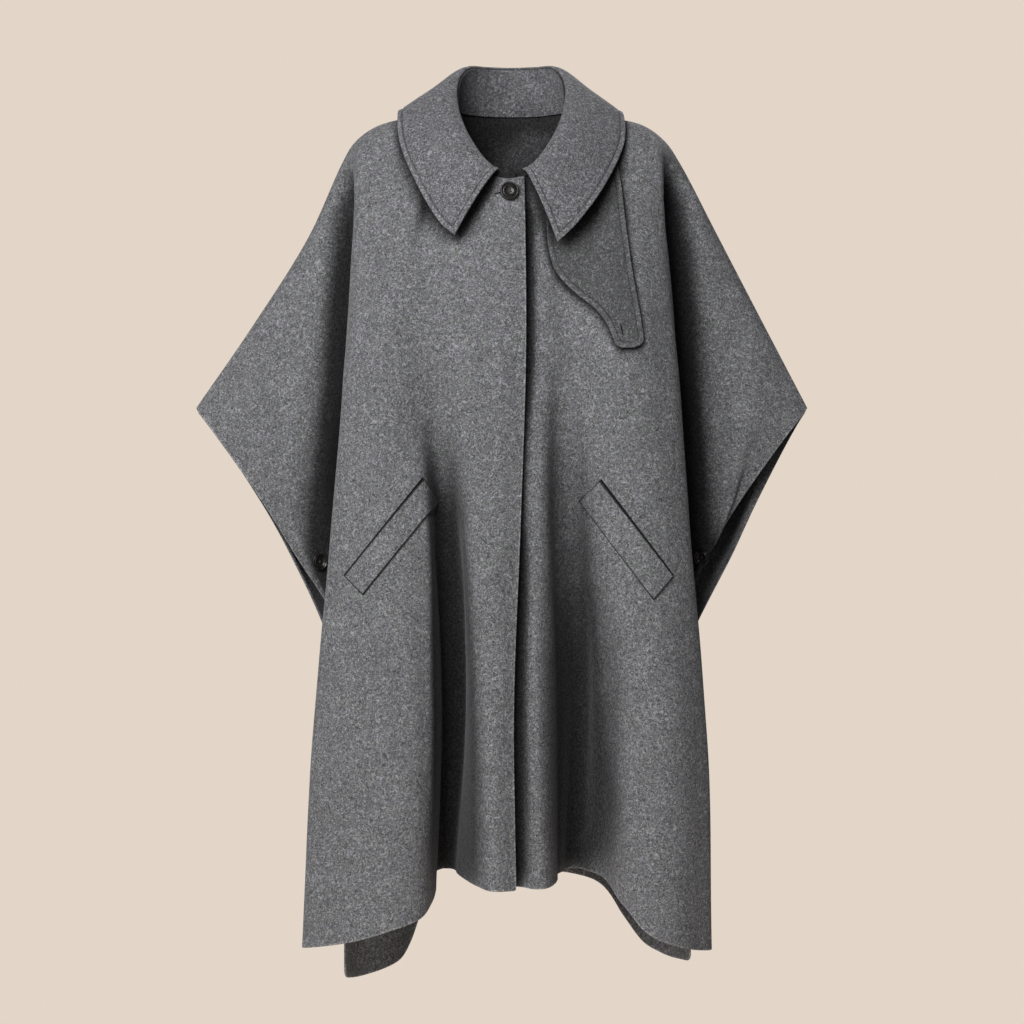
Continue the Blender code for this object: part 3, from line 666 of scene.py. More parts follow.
def winding_fibres(group, path, where, offset, scale, width):
    """Short winding lines: where a noise crosses its middle value, broken up by a second noise."""
    wave = add_noise(group, shifted(group, path, offset), scale, 0.0)
    beside = maths(group, "ABSOLUTE", maths(group, "SUBTRACT", wave, 0.5), 0.0)
    turned_offset = (offset[2], offset[0], offset[1])
    breaks = add_noise(group, shifted(group, where, turned_offset), scale * 0.85, 1.0)
    line = soft_step(group, beside, width, 0.0)
    return maths(group, "MULTIPLY", line, soft_step(group, breaks, 0.46, 0.55))


def make_wool_group():
    """Colour, roughness and height of felted wool, with painted light and shade at edges, grooves and folds.
    """
    group, given, result = new_group(
        "felted wool",
        (("Cloth", "NodeSocketColor", (0.16, 0.16, 0.165, 1.0)),
         ("Pale Fibre", "NodeSocketColor", (0.36, 0.36, 0.37, 1.0)),
         ("Dark Fibre", "NodeSocketColor", (0.05, 0.05, 0.055, 1.0)),
         ("Fleck Amount", "NodeSocketFloat", 0.6),
         ("Edge Width", "NodeSocketFloat", 0.0016),
         ("Edge Lift", "NodeSocketFloat", 0.25),
         ("Groove At", "NodeSocketFloat", 0.007),
         ("Groove Dark", "NodeSocketFloat", 0.0)),
        (("Colour", "NodeSocketColor"), ("Roughness", "NodeSocketFloat"), ("Height", "NodeSocketFloat")))
    where = group.nodes.new("ShaderNodeTexCoord").outputs["Object"]
    bend = add_noise(group, where, BEND_SCALE, 1.0).node.outputs["Color"]
    curled = group.nodes.new("ShaderNodeVectorMath")
    curled.operation = "MULTIPLY_ADD"
    group.links.new(bend, curled.inputs[0])
    curled.inputs[1].default_value = (BEND_REACH, BEND_REACH, BEND_REACH)
    group.links.new(where, curled.inputs[2])
    fibres = {"pale": [], "dark": []}
    for kind, offset, scale, width in FIBRE_LAYERS:
        fibres[kind].append(winding_fibres(group, curled.outputs[0], where, offset, scale, width))
    pale = maths(group, "MAXIMUM", *fibres["pale"])
    dark = maths(group, "MAXIMUM", *fibres["dark"])
    grain = add_noise(group, shifted(group, where, (7.7, 2.2, 0.9)), GRAIN_SCALE, 2.0)
    cloud = add_noise(group, shifted(group, where, (1.3, 8.1, 4.4)), CLOUD_SCALE, 3.0)

    amount = given.outputs["Fleck Amount"]
    colour = blend_colours(group, maths(group, "MULTIPLY", dark, amount),
                           given.outputs["Cloth"], given.outputs["Dark Fibre"])
    colour = blend_colours(group, maths(group, "MULTIPLY", pale, amount), colour,
                           given.outputs["Pale Fibre"])
    tint_noise = add_noise(group, shifted(group, where, (4.2, 0.4, 9.1)), TINT_SCALE, 1.0)
    tint = blend_colours(group, soft_step(group, tint_noise, 0.35, 0.65),
                         (1.0, 0.995, 1.04, 1.0), (0.975, 1.01, 0.98, 1.0))
    tinted = group.nodes.new("ShaderNodeMix")
    tinted.data_type = "RGBA"
    tinted.blend_type = "MULTIPLY"
    tinted.inputs[0].default_value = 1.0
    group.links.new(colour, tinted.inputs[6])
    group.links.new(tint, tinted.inputs[7])

    edge = group.nodes.new("ShaderNodeAttribute")
    edge.attribute_name = "edge"
    near_edge = soft_step(group, edge.outputs["Fac"], given.outputs["Edge Width"],
                          maths(group, "MULTIPLY", given.outputs["Edge Width"], 0.55))
    beside = maths(group, "ABSOLUTE", maths(group, "SUBTRACT", edge.outputs["Fac"],
                                            given.outputs["Groove At"]), 0.0)
    groove = soft_step(group, beside, 0.0011, 0.0002)
    grained = soft_step(group, grain, 0.25, 0.75, 0.62, 1.38)
    shaded = maths(group, "MULTIPLY", grained, soft_step(group, cloud, 0.3, 0.7, 0.94, 1.06))
    # Painted shade: the fold depth stored on the mesh darkens the colour in deep folds and insides.
    fold = group.nodes.new("ShaderNodeAttribute")
    fold.attribute_name = "fold"
    deep = soft_step(group, fold.outputs["Fac"], *PAINTED_FOLD_RANGE, 1.0, PAINTED_FOLD_SHADE)
    shaded = maths(group, "MULTIPLY", shaded, deep)
    # Painted highlight along the pressed edge, and painted shade there where the edge value is negative.
    painted_edge_factor = maths(group, "MULTIPLY_ADD", near_edge, given.outputs["Edge Lift"])
    painted_edge_factor.node.inputs[2].default_value = 1.0
    shaded = maths(group, "MULTIPLY", shaded, painted_edge_factor)
    # Painted shade in the stitched groove.
    painted_groove_factor = maths(group, "SUBTRACT", 1.0, maths(group, "MULTIPLY", groove, given.outputs["Groove Dark"]))
    shaded = maths(group, "MULTIPLY", shaded, painted_groove_factor)
    scaled = group.nodes.new("ShaderNodeVectorMath")
    scaled.operation = "SCALE"
    group.links.new(tinted.outputs[2], scaled.inputs[0])
    group.links.new(shaded, scaled.inputs["Scale"])
    group.links.new(scaled.outputs[0], result.inputs["Colour"])
    group.links.new(soft_step(group, grain, 0.3, 0.7, 0.97, 0.86), result.inputs["Roughness"])
    height = maths(group, "ADD", maths(group, "MULTIPLY", pale, 0.8), maths(group, "MULTIPLY", grain, 0.7))
    height = maths(group, "SUBTRACT", height, maths(group, "MULTIPLY", dark, 0.5))
    group.links.new(height, result.inputs["Height"])
    return group


wool_group = make_wool_group()
print("wool group has", len(wool_group.nodes), "nodes")


# %% Wool materials
WOOL_BUMP = 0.55
FIBRE_HEIGHT = 0.0006


# The edge value paints a highlight on the pressed edge, or shade where it is negative; the groove value
# paints shade in the stitched groove.
def make_wool(name, cloth, pale, dark, fleck, edge_width, painted_edge_light, painted_groove_shade):
    """A material of felted wool: the group feeds it, and its steady values are set on the shader."""
    material = bpy.data.materials.new(name)
    material.use_nodes = True
    tree = material.node_tree
    shader = tree.nodes["Principled BSDF"]
    shader.inputs["Specular IOR Level"].default_value = 0.18
    shader.inputs["Sheen Weight"].default_value = 0.22
    shader.inputs["Sheen Roughness"].default_value = 0.45
    shader.inputs["Sheen Tint"].default_value = (0.72, 0.72, 0.76, 1.0)
    wool = tree.nodes.new("ShaderNodeGroup")
    wool.node_tree = wool_group
    for label, value in (("Cloth", cloth), ("Pale Fibre", pale), ("Dark Fibre", dark)):
        wool.inputs[label].default_value = value + (1.0,)
    for label, value in (("Fleck Amount", fleck), ("Edge Width", edge_width), ("Edge Lift", painted_edge_light),
                         ("Groove Dark", painted_groove_shade)):
        wool.inputs[label].default_value = value
    relief = tree.nodes.new("ShaderNodeBump")
    relief.inputs["Strength"].default_value = WOOL_BUMP
    relief.inputs["Distance"].default_value = FIBRE_HEIGHT
    tree.links.new(wool.outputs["Height"], relief.inputs["Height"])
    tree.links.new(relief.outputs["Normal"], shader.inputs["Normal"])
    tree.links.new(wool.outputs["Colour"], shader.inputs["Base Color"])
    tree.links.new(wool.outputs["Roughness"], shader.inputs["Roughness"])
    return material


GREY = (0.150, 0.150, 0.155)
PALE = (0.330, 0.328, 0.345)
DARK = (0.052, 0.052, 0.056)
# The collar's tone is a darker copy of the body wool: painted shade on the upturned collar, which takes more
# light.
COLLAR_SHADED_GREY = (0.130, 0.128, 0.136)
# The flap's tones are a darker copy of the body wool: painted shade for the flap under the collar.
FLAP_SHADED_GREY = (0.080, 0.080, 0.082)
FLAP_SHADED_PALE = (0.21, 0.21, 0.22)
# The body's and the collar's edge values paint a highlight on their pressed edges; the collar's groove value
# paints shade in its stitched groove.
body_wool = make_wool("felted grey wool", GREY, PALE, DARK, 0.80, 0.0026, 0.45, 0.0)
shaded_collar_wool = make_wool("felted collar wool", COLLAR_SHADED_GREY, PALE, DARK, 0.80, 0.0066, 0.14, 0.50)
print("materials:", body_wool.name, "and", shaded_collar_wool.name)

# %% [markdown]
# Cut and pressed edges are never square. Each piece is a closed shell: its inner face, its outer
# face and a narrow rim, with both faces curving in to the rim over about a millimetre. Extra rows
# of points beside the edges carry that curve, because the main grid is too open for it. The stock
# way is Solidify with a Bevel. The shell is built here by hand, since the same code also
# presses the stitched groove into the outer face.

# %% Rounded cloth shells
EDGE_ROUND = 0.0011
MARGINS = (0.00025, 0.0007, 0.0013)


def add_margins(grid):
    """Put extra rows and columns just inside the edges of a grid."""
    for axis in (0, 1):
        rows = np.moveaxis(grid, axis, 0)
        start = []
        end = []
        for index, margin in enumerate(MARGINS):
            limit = (index + 1) / (len(MARGINS) + 1)
            for first, second, found in ((rows[0], rows[1], start), (rows[-1], rows[-2], end)):
                length = np.maximum(np.linalg.norm(second - first, axis=-1, keepdims=True), 1e-9)
                share = np.minimum(margin / length, limit)
                found.append(first + (second - first) * share)
        rows = np.concatenate([rows[:1], np.array(start), rows[1:-1], np.array(end[::-1]), rows[-1:]])
        grid = np.moveaxis(rows, 0, axis)
    return grid


def round_corners(grid, corners):
    """Round the corners of a grid, each given as (last row, last column, radius)."""
    for last_row, last_column, radius in corners:
        view = grid[::-1] if last_row else grid
        view = view[:, ::-1] if last_column else view
        source = view.copy()
        down = np.concatenate([[0.0], np.cumsum(np.linalg.norm(np.diff(source[:, 0], axis=0), axis=1))])
        along = np.concatenate([[0.0], np.cumsum(np.linalg.norm(np.diff(source[0], axis=0), axis=1))])
        for row in range(int((down < radius).sum())):
            for column in range(int((along < radius).sum())):
                across, below = radius - along[column], radius - down[row]
                pull = max(across, below) / math.hypot(across, below)
                new_row = np.interp(radius - below * pull, down, np.arange(len(down)))
                new_column = np.interp(radius - across * pull, along, np.arange(len(along)))
                top, left = int(new_row), int(new_column)
                low, right = new_row - top, new_column - left
                upper = source[top, left] * (1 - right) + source[top, left + 1] * right
                lower = source[top + 1, left] * (1 - right) + source[top + 1, left + 1] * right
                view[row, column] = upper * (1 - low) + lower * low
    return grid


ALL_SIDES = ("top", "end", "left", "right")
FREE_SIDES = ("end", "left", "right")
FAR_FROM_EDGE = 0.05


def borders(grid, sides):
    """Distance of each point to the named sides of its grid, up to a limit."""
    paths = {"top": grid[0], "end": grid[-1], "left": grid[:, 0], "right": grid[:, -1]}
    best = np.full(grid.shape[:2], FAR_FROM_EDGE)
    for side in sides:
        gap, _ = distance_to_path(grid, paths[side])
        best = np.minimum(best, gap)
    return best


def rounding(distance, radius):
    """How far a face has to sink at a distance from its edge, for a round edge."""
    inside = np.clip(radius - distance, 0.0, radius)
    return radius - np.sqrt(np.maximum(radius * radius - inside * inside, 0.0))


def link_mesh(name, points, faces, material, edge=None):
    """An object from points and faces, smooth, with the distance to its edge stored."""
    mesh = bpy.data.meshes.new(name)
    mesh.from_pydata(points.tolist(), [], faces.tolist() if hasattr(faces, "tolist") else faces)
    mesh.materials.append(material)
    mesh.shade_smooth()
    if edge is not None:
        mesh.attributes.new("edge", "FLOAT", "POINT").data.foreach_set("value", edge)
    piece = bpy.data.objects.new(name, mesh)
    bpy.context.scene.collection.objects.link(piece)
    return piece


def shell(name, inner, outer, edge, outside, material):
    """A closed cloth shell between two grids of points."""
    rows, columns = inner.shape[:2]
    count = rows * columns
    index = np.arange(count).reshape(rows, columns)
    quads = np.stack([index[:-1, :-1], index[:-1, 1:], index[1:, 1:], index[1:, :-1]], axis=-1)
    quads = quads.reshape(-1, 4)
    faces = [quads + count, quads[:, ::-1]]
    for line, turned in ((index[0], False), (index[-1], True), (index[:, 0], True), (index[:, -1], False)):
        rim = np.stack([line[:-1], line[1:], line[1:] + count, line[:-1] + count], axis=-1)
        faces.append(rim[:, ::-1] if turned else rim)
    faces = np.concatenate(faces)
    facing = np.cross(np.gradient(outer, axis=1), np.gradient(outer, axis=0))
    if (facing @ np.array(outside)).sum() < 0:
        faces = faces[:, ::-1]
    points = np.concatenate([inner.reshape(-1, 3), outer.reshape(-1, 3)])
    edges = np.concatenate([edge.reshape(-1), edge.reshape(-1)]).astype(np.float32)
    return link_mesh(name, points, faces, material, edges)


def facing_grid(grid, outside):
    """The grid with its columns turned where needed, so that its faces point outside."""
    facing = np.cross(np.gradient(grid, axis=1), np.gradient(grid, axis=0))
    if (facing @ np.array(outside)).sum() < 0:
        return grid[:, ::-1]
    return grid


def tree_of(*grids):
    """A search tree over the faces of some grids."""
    points = []
    faces = []
    for grid in grids:
        rows, columns = grid.shape[:2]
        start = len(points)
        index = np.arange(rows * columns).reshape(rows, columns) + start
        quads = np.stack([index[:-1, :-1], index[:-1, 1:], index[1:, 1:], index[1:, :-1]], axis=-1)
        faces += quads.reshape(-1, 4).tolist()
        points += grid.reshape(-1, 3).tolist()
    return BVHTree.FromPolygons(points, faces)


# %% The fronts and the back
def make_panel(name, panel, outside, free_sides, corners, material):
    """Give a panel its wall, its rounded edges and its trimmed corners."""
    grid = round_corners(add_margins(panel.grid).copy(), corners)
    facing = normals_of(grid, outside)
    sink = rounding(borders(grid, ALL_SIDES), EDGE_ROUND)[..., None]
    inner = grid + facing * sink
    outer = grid + facing * (WALL - sink)
    piece = shell(name, inner, outer, borders(grid, free_sides), outside, material)
    print(name, len(piece.data.polygons), "faces")
    return piece, inner, outer


FRONT_CORNERS = ((False, True, 0.008), (True, True, 0.011), (True, False, 0.004))
BACK_CORNERS = ((False, True, 0.008), (False, False, 0.008), (True, True, 0.012), (True, False, 0.010))
right_cloth, right_inner, right_outer = make_panel("cloth_front_right", front_right, FRONT, FREE_SIDES,
                                                   FRONT_CORNERS, body_wool)
left_cloth, left_inner, left_outer = make_panel("cloth_front_left", front_left, FRONT, FREE_SIDES,
                                                FRONT_CORNERS, body_wool)
back_cloth, back_inner, back_outer = make_panel("cloth_back", back, BACK, FREE_SIDES, BACK_CORNERS,
                                                body_wool)
right_tree = tree_of(facing_grid(right_outer, FRONT))
left_tree = tree_of(facing_grid(left_outer, FRONT))

# %% [markdown]
# The trims lie on the fronts: a shaped storm flap and two slanted welts. Each is drawn flat in the
# picture plane, and every point is then dropped on to the cloth along the view, as a maker lays a
# cut piece on a coat. The rows are spaced by true distance from the edge, so that the stitched
# groove seven millimetres inside it stays crisp.

# %% Flap and welts
STITCH_INSET = 0.007
STITCHED_MARGINS = np.array([0.0, 0.3, 0.8, 1.5, 2.6, 3.9, 5.1, 5.9, 6.5, 7.0, 7.5, 8.1, 9.0, 10.6]) * MM
GROOVE_WIDTH = 0.0009


def resample(points, places, values=None):
    """Points, or values kept at them, read at given shares of the length of a row of points."""
    values = points if values is None else values
    steps = np.linalg.norm(np.diff(points, axis=0), axis=1)
    along = np.concatenate([[0.0], np.cumsum(steps)])
    return np.stack([np.interp(places * along[-1], along, values[:, axis]) for axis in range(3)], axis=1)


def spaced(total, start, end, steps):
    """Shares of a length: fixed margins at its ends and even steps between them."""
    squeeze = min(1.0, 0.46 * total / max(start[-1], end[-1]))
    low = start * squeeze
    high = total - end[::-1] * squeeze
    middle = np.linspace(low[-1], high[0], steps + 1)[1:-1]
    return np.concatenate([low, middle, high]) / total


def length_of(points):
    """The length of a row of points."""
    return np.linalg.norm(np.diff(points, axis=0), axis=1).sum()


def respace(grid, start, end, steps, axis):
    """Space the rows or columns of a grid by their true distance from its edges."""
    lines = np.moveaxis(grid, axis, 1)
    made = [resample(line, spaced(length_of(line), start, end, steps)) for line in lines]
    return np.moveaxis(np.array(made), 1, axis)


def drop_on(tree, flat, lift):
    """Drop points that are drawn in the picture plane on to the cloth behind them."""
    made = np.empty_like(flat)
    for place in np.ndindex(flat.shape[:2]):
        x, _, z = flat[place]
        found, normal, _, _ = tree.ray_cast(Vector((x, -1.0, z)), Vector((0.0, 1.0, 0.0)))
        made[place] = found + normal * lift
    return made


def relax(grid, rounds):
    """Even out small bumps inside a grid and leave its edges."""
    for _ in range(rounds):
        middle = (grid[:-2, 1:-1] + grid[2:, 1:-1] + grid[1:-1, :-2] + grid[1:-1, 2:]) / 4
        grid[1:-1, 1:-1] = grid[1:-1, 1:-1] * 0.4 + middle * 0.6
    return grid


def stitched_faces(base, facing, wall, stitched, groove):
    """Inner and outer faces of a trim with a pressed edge and a stitched groove inside it."""
    edge = borders(base, stitched)
    every = borders(base, ALL_SIDES)
    pressed = np.exp(-((edge - STITCH_INSET) / GROOVE_WIDTH) ** 2) * groove
    soft = rounding(every, min(wall * 0.42, 0.0014))
    inner = base + facing * soft[..., None]
    outer = base + facing * (wall - soft - pressed)[..., None]
    return inner, outer, edge


class FlapRow(NamedTuple):
    """One cut across the storm flap in mm, from its inner edge to its outer edge."""

    inner_x: float
    inner_z: float
    outer_x: float
    outer_z: float


STORM_FLAP = (
    FlapRow(50, -112, 128, -47),
    FlapRow(47, -130, 133, -60),
    FlapRow(47, -157, 139, -92),
    FlapRow(50, -179, 143, -133),
    FlapRow(58, -202, 148, -178),
    FlapRow(80, -226, 153, -216),
    FlapRow(105, -246, 158, -246),
    FlapRow(119, -264, 161, -268),
    FlapRow(126, -280, 163, -284),
    FlapRow(131, -291, 160, -291),
    FlapRow(137, -295, 152, -295),
)
FLAP_WALL = 0.0030
FLAP_LIFT = 0.0008
FLAP_STAND_OFF = 0.0012
FLAP_GROOVE = 0.0009


def make_flap():
    """The storm flap, from under the collar to its rounded tip."""
    shares = np.linspace(0.0, 1.0, 97) ** 0.8
    inner_edge = through([(row.inner_x * MM, -0.2, row.inner_z * MM) for row in STORM_FLAP], shares)
    outer_edge = through([(row.outer_x * MM, -0.2, row.outer_z * MM) for row in STORM_FLAP], shares)
    across = np.linspace(0.0, 1.0, 41)[None, :, None]
    flat = inner_edge[:, None, :] * (1 - across) + outer_edge[:, None, :] * across
    flat = respace(flat, STITCHED_MARGINS, STITCHED_MARGINS, 16, 1)
    base = relax(drop_on(left_tree, flat, FLAP_LIFT), 3)
    facing = normals_of(base, FRONT)
    stand_off = fade(np.linspace(0.0, 1.0, base.shape[1]), 0.55, 1.0)[None, :]
    down = fade(np.linspace(0.0, 1.0, base.shape[0]), 0.1, 0.6)[:, None]
    base = base + facing * (FLAP_STAND_OFF * stand_off * down)[..., None]
    inner, outer, edge = stitched_faces(base, facing, FLAP_WALL, FREE_SIDES, FLAP_GROOVE)
    return shell("cloth_storm_flap", inner, outer, edge, FRONT, shaded_flap_wool), inner, outer, facing


# The flap's darker tones paint shade; its edge value paints a highlight on the pressed edge and its groove
# value paints shade in the stitched groove.
shaded_flap_wool = make_wool("felted flap wool", FLAP_SHADED_GREY, FLAP_SHADED_PALE, DARK, 0.72, 0.0066, 0.22, 0.50)
flap_cloth, flap_inner, flap_outer, flap_facing = make_flap()

WELT_RIGHT = ((-197, -570), (-102, -452), (-86, -482), (-174, -593))
WELT_LEFT = ((199, -570), (112, -454), (87, -479), (175, -599))
WELT_WALL = 0.0022
WELT_LIFT = 0.0006
WELT_MARGINS = np.array([0.0, 0.3, 0.8, 1.4, 2.2]) * MM
MOUTH_ABOVE = 1.8
MOUTH_UNDER = 0.4
MOUTH_LIFT = 0.0001
MOUTH_WALL = 0.00025


def quad_grid(corners, rows, columns):
    """Flat points between four corners in the picture plane."""
    low, high, edge_high, edge_low = [np.array([x * MM, -0.2, z * MM]) for x, z in corners]
    long = np.linspace(0.0, 1.0, rows)[:, None, None]
    wide = np.linspace(0.0, 1.0, columns)[None, :, None]
    return (low * (1 - long) + high * long) * (1 - wide) + (edge_low * (1 - long) + edge_high * long) * wide


def make_welt(name, corners, tree):
    """A pocket welt, pressed flat, and a strip of painted shade at the pocket's mouth along its upper edge.
    """
    flat = quad_grid(corners, 61, 15)
    flat = respace(respace(flat, WELT_MARGINS, WELT_MARGINS, 8, 1), WELT_MARGINS, WELT_MARGINS, 46, 0)
    base = relax(drop_on(tree, flat, WELT_LIFT), 3)
    facing = normals_of(base, FRONT)
    inner, outer, edge = stitched_faces(base, facing, WELT_WALL, ALL_SIDES, 0.0)
    cloth = shell("cloth_" + name, inner, outer, edge, FRONT, edge_shaded_welt_wool)
    mouth_low, mouth_high, edge_high, edge_low = [np.array(corner, dtype=float) for corner in corners]
    away = (mouth_low - edge_low) / np.linalg.norm(mouth_low - edge_low)
    above, under = away * MOUTH_ABOVE, away * MOUTH_UNDER
    gap = [mouth_low + above, mouth_high + above, mouth_high - under, mouth_low - under]
    # The mouth strip is a near-black sheet of painted shade.
    strip = drop_on(tree, quad_grid(gap, 61, 4), MOUTH_LIFT)
    raised = strip + normals_of(strip, FRONT) * MOUTH_WALL
    mouth = shell(name.replace("welt", "pocket_mouth_shade"), strip, raised, borders(strip, ()), FRONT, painted_slit_shade)
    return cloth, mouth, (inner, outer)


def make_mottled(name, scale, first, second, roughness):
    """A plain material in two near tones, which a fine noise mixes."""
    material = bpy.data.materials.new(name)
    material.use_nodes = True
    tree = material.node_tree
    where = tree.nodes.new("ShaderNodeTexCoord").outputs["Object"]
    tone = blend_colours(tree, add_noise(tree, where, scale), first + (1.0,), second + (1.0,))
    tree.links.new(tone, tree.nodes["Principled BSDF"].inputs["Base Color"])
    tree.nodes["Principled BSDF"].inputs["Roughness"].default_value = roughness
    return material


# A near-black sheet that paints the shade inside the pocket mouths and the buttonhole slits.
painted_slit_shade = make_mottled("dark of a slit", 700.0, (0.004, 0.004, 0.004), (0.022, 0.022, 0.023), 1.0)
painted_slit_shade.node_tree.nodes["Principled BSDF"].inputs["Specular IOR Level"].default_value = 0.0
# A negative edge value paints shade along the welts' edges.
edge_shaded_welt_wool = make_wool("felted welt wool", GREY, PALE, DARK, 0.80, 0.0019, -0.85, 0.0)
welt_right_cloth, mouth_shade_right, welt_right_faces = make_welt("welt_right", WELT_RIGHT, right_tree)
welt_left_cloth, mouth_shade_left, welt_left_faces = make_welt("welt_left", WELT_LEFT, left_tree)
print("flap and welts laid on the fronts")

# %% [markdown]
# The collar is a stand that rises from the neck seam and a leaf that turns over the top of it. The
# leaf leaves the roll line square to the stand, arches out and comes down on the shoulders. Every
# point that would sink into the coat is pushed back out of it, and the leaf is then relaxed, so it
# settles over the flap and the shoulder as thick cloth does.

# %% Stand and leaf
STAND_RISE = 0.0006
FRONT_DROP = 0.0036
LEAF_FRONT_ANGLE = 167.5
STAND_RIGHT_ANGLE = 184.0
STAND_LEFT_ANGLE = 176.0
SHARP_RIM = math.radians(50)
STAND_ANGLES = 73
LEAF_ANGLES = 121
LEAF_STEPS = 52
LEAF_WALL = 0.0031
LEAF_RISE = 0.00002
LEAF_CLEARANCE = 0.0007
LEAF_GROOVE = 0.0011
LEAF_LIP = 0.0002
ROLL_MARGINS = np.array([0.0, 0.4, 0.9, 1.6, 2.5, 3.8]) * MM
STAND_OUTSIDE = (0.0, 1.0, 0.2)
LEAF_OUTSIDE = (0.0, -0.1, 1.0)


def collar_columns(count, right_angle, left_angle):
    """Angles and sides from the wearer's right front end, round the back, to the left one."""
    shares = np.linspace(-1.0, 1.0, 2 * count - 1)
    return [(share * left_angle, 1) if share > 0 else (-share * right_angle, -1) for share in shares]


def stand_foot(angle, side):
    """Where the stand starts: just above the seam, and closest to it at the front."""
    rise = STAND_RISE * (1 - fade(angle, 120.0, 160.0)) + 0.0001
    return neck_point(angle, side) + np.array([0.0, 0.0, rise])


def stand_top(angle, side):
    """The roll line, a little lower at the front, where the neck edge runs level."""
    drop = FRONT_DROP * fade(angle, 148.0, LEAF_FRONT_ANGLE) * (1 - fade(angle, 169.0, 177.0))
    return roll_point(angle, side) - np.array([0.0, 0.0, drop])


def set_back(angle, side):
    """How far the left front end goes behind the right one, which laps over it."""
    share = (angle - LEAF_FRONT_ANGLE) / (STAND_LEFT_ANGLE - LEAF_FRONT_ANGLE) * 2
    depth = UNDERLAP_DEPTH * min(max(share, 0.0), 1.0) if side > 0 else 0.0
    return np.array([0.0, depth, 0.0])


def make_stand():
    """The stand, from just above the neck seam up to the roll line."""
    columns = []
    for angle, side in collar_columns(STAND_ANGLES, STAND_RIGHT_ANGLE, STAND_LEFT_ANGLE):
        foot = stand_foot(angle, side) + set_back(angle, side)
        top = stand_top(angle, side) + set_back(angle, side)
        columns.append([top + (foot - top) * share for share in np.linspace(0.0, 1.0, 15)])
    grid = add_margins(np.transpose(np.array(columns), (1, 0, 2)))
    facing = normals_of(grid, STAND_OUTSIDE)
    sink = rounding(borders(grid, FREE_SIDES), 0.0006)[..., None]
    inner = grid + facing * sink
    outer = grid + facing * (WALL - sink)
    stand = shell("cloth_collar_stand", inner, outer, borders(grid, ()), STAND_OUTSIDE, shaded_collar_wool)
    stand.data.set_sharp_from_angle(angle=SHARP_RIM)
    return stand, inner, outer


def leaf_column(angle, side):
    """The leaf at one angle: over the stand, out and down to its edge."""
    foot = stand_foot(angle, side)
    up = unit(stand_top(angle, side) - foot)
    start = stand_top(angle, side) + up * LEAF_RISE
    table = COLLAR_RIGHT if side < 0 else COLLAR_LEFT
    station = angle * FRONT_NECK_ANGLE / LEAF_FRONT_ANGLE
    end = np.array([interpolate(table, "angle", name, station) for name in CollarStation._fields[3:]]) * MM
    turn = math.radians(angle)
    out = np.array([side * math.sin(turn), math.cos(turn), 0.0])
    out = unit(out - up * (out @ up))
    reach = np.linalg.norm(end - start)
    slope_in = out * reach * 0.75 + up * reach * 0.17 * (1 - fade(angle, 140.0, LEAF_FRONT_ANGLE))
    slope_out = (end - start) * 0.9 + np.array([0.0, 0.0, -reach * 0.25])
    shares = (np.linspace(0.0, 1.0, LEAF_STEPS + 1) ** 1.35)[:, None]
    return hermite(start, end, slope_in, slope_out, shares)


def push_off(tree, grid, clearance, first_row):
    """Move the points of a grid out until they clear the cloth below them."""
    for row in range(first_row, grid.shape[0]):
        for column in range(grid.shape[1]):
            point = Vector(grid[row, column])
            found, normal, _, distance = tree.find_nearest(point)
            if (point - found).dot(normal) < 0 or distance < clearance:
                grid[row, column] = found + normal * clearance
    return grid


def make_leaf(tree):
    """The collar leaf with its pressed and stitched edge."""
    columns = [leaf_column(angle, side)
               for angle, side in collar_columns(LEAF_ANGLES, LEAF_FRONT_ANGLE, LEAF_FRONT_ANGLE)]
    grid = np.transpose(np.array(columns), (1, 0, 2)).copy()
    for _ in range(3):
        grid = push_off(tree, grid, LEAF_CLEARANCE, 6)
        grid[4:] = relax(grid[4:].copy(), 4)
    grid = push_off(tree, grid, LEAF_CLEARANCE, 6)
    grid = respace(grid, ROLL_MARGINS, STITCHED_MARGINS, 20, 0)
    grid = respace(grid, STITCHED_MARGINS, STITCHED_MARGINS, 150, 1)
    facing = normals_of(grid, LEAF_OUTSIDE)
    edge = borders(grid, FREE_SIDES)
    fold = borders(grid, ("top",))
    pressed = np.exp(-((edge - STITCH_INSET) / GROOVE_WIDTH) ** 2) * LEAF_GROOVE
    strip = fade(-edge, -STITCH_INSET, -STITCH_INSET + 0.0025) * LEAF_LIP
    low = rounding(edge, 0.0012)
    high = LEAF_WALL - rounding(edge, 0.0014) - rounding(fold, LEAF_WALL) - pressed + strip
    high = np.maximum(high, low)
    inner = grid + facing * low[..., None]
    outer = grid + facing * high[..., None]
    leaf = shell("cloth_collar_leaf", inner, outer, edge, LEAF_OUTSIDE, shaded_collar_wool)
    leaf.data.set_sharp_from_angle(angle=SHARP_RIM)
    return leaf, inner, outer, facing


stand_cloth, stand_inner, stand_outer = make_stand()
body_tree = tree_of(facing_grid(right_outer, FRONT), facing_grid(left_outer, FRONT),
                    facing_grid(back_outer, BACK), facing_grid(flap_outer, FRONT),
                    facing_grid(stand_outer, STAND_OUTSIDE))
leaf_cloth, leaf_inner, leaf_outer, leaf_facing = make_leaf(body_tree)
print("collar leaf has", len(leaf_cloth.data.polygons), "faces")

# %% [markdown]
# Shade is painted into the wool of deep folds and of the insides, like a baked ambient occlusion.
# Every second point of the cloth looks out in about thirty directions, and the share that meets
# cloth close by is stored on the mesh. The wool's colour darkens with that share, as painted
# shade. The insides get more painted shade round the neck and less at the hem, where light gets
# in. The share depends only on the shape, so it stays the same under any light.

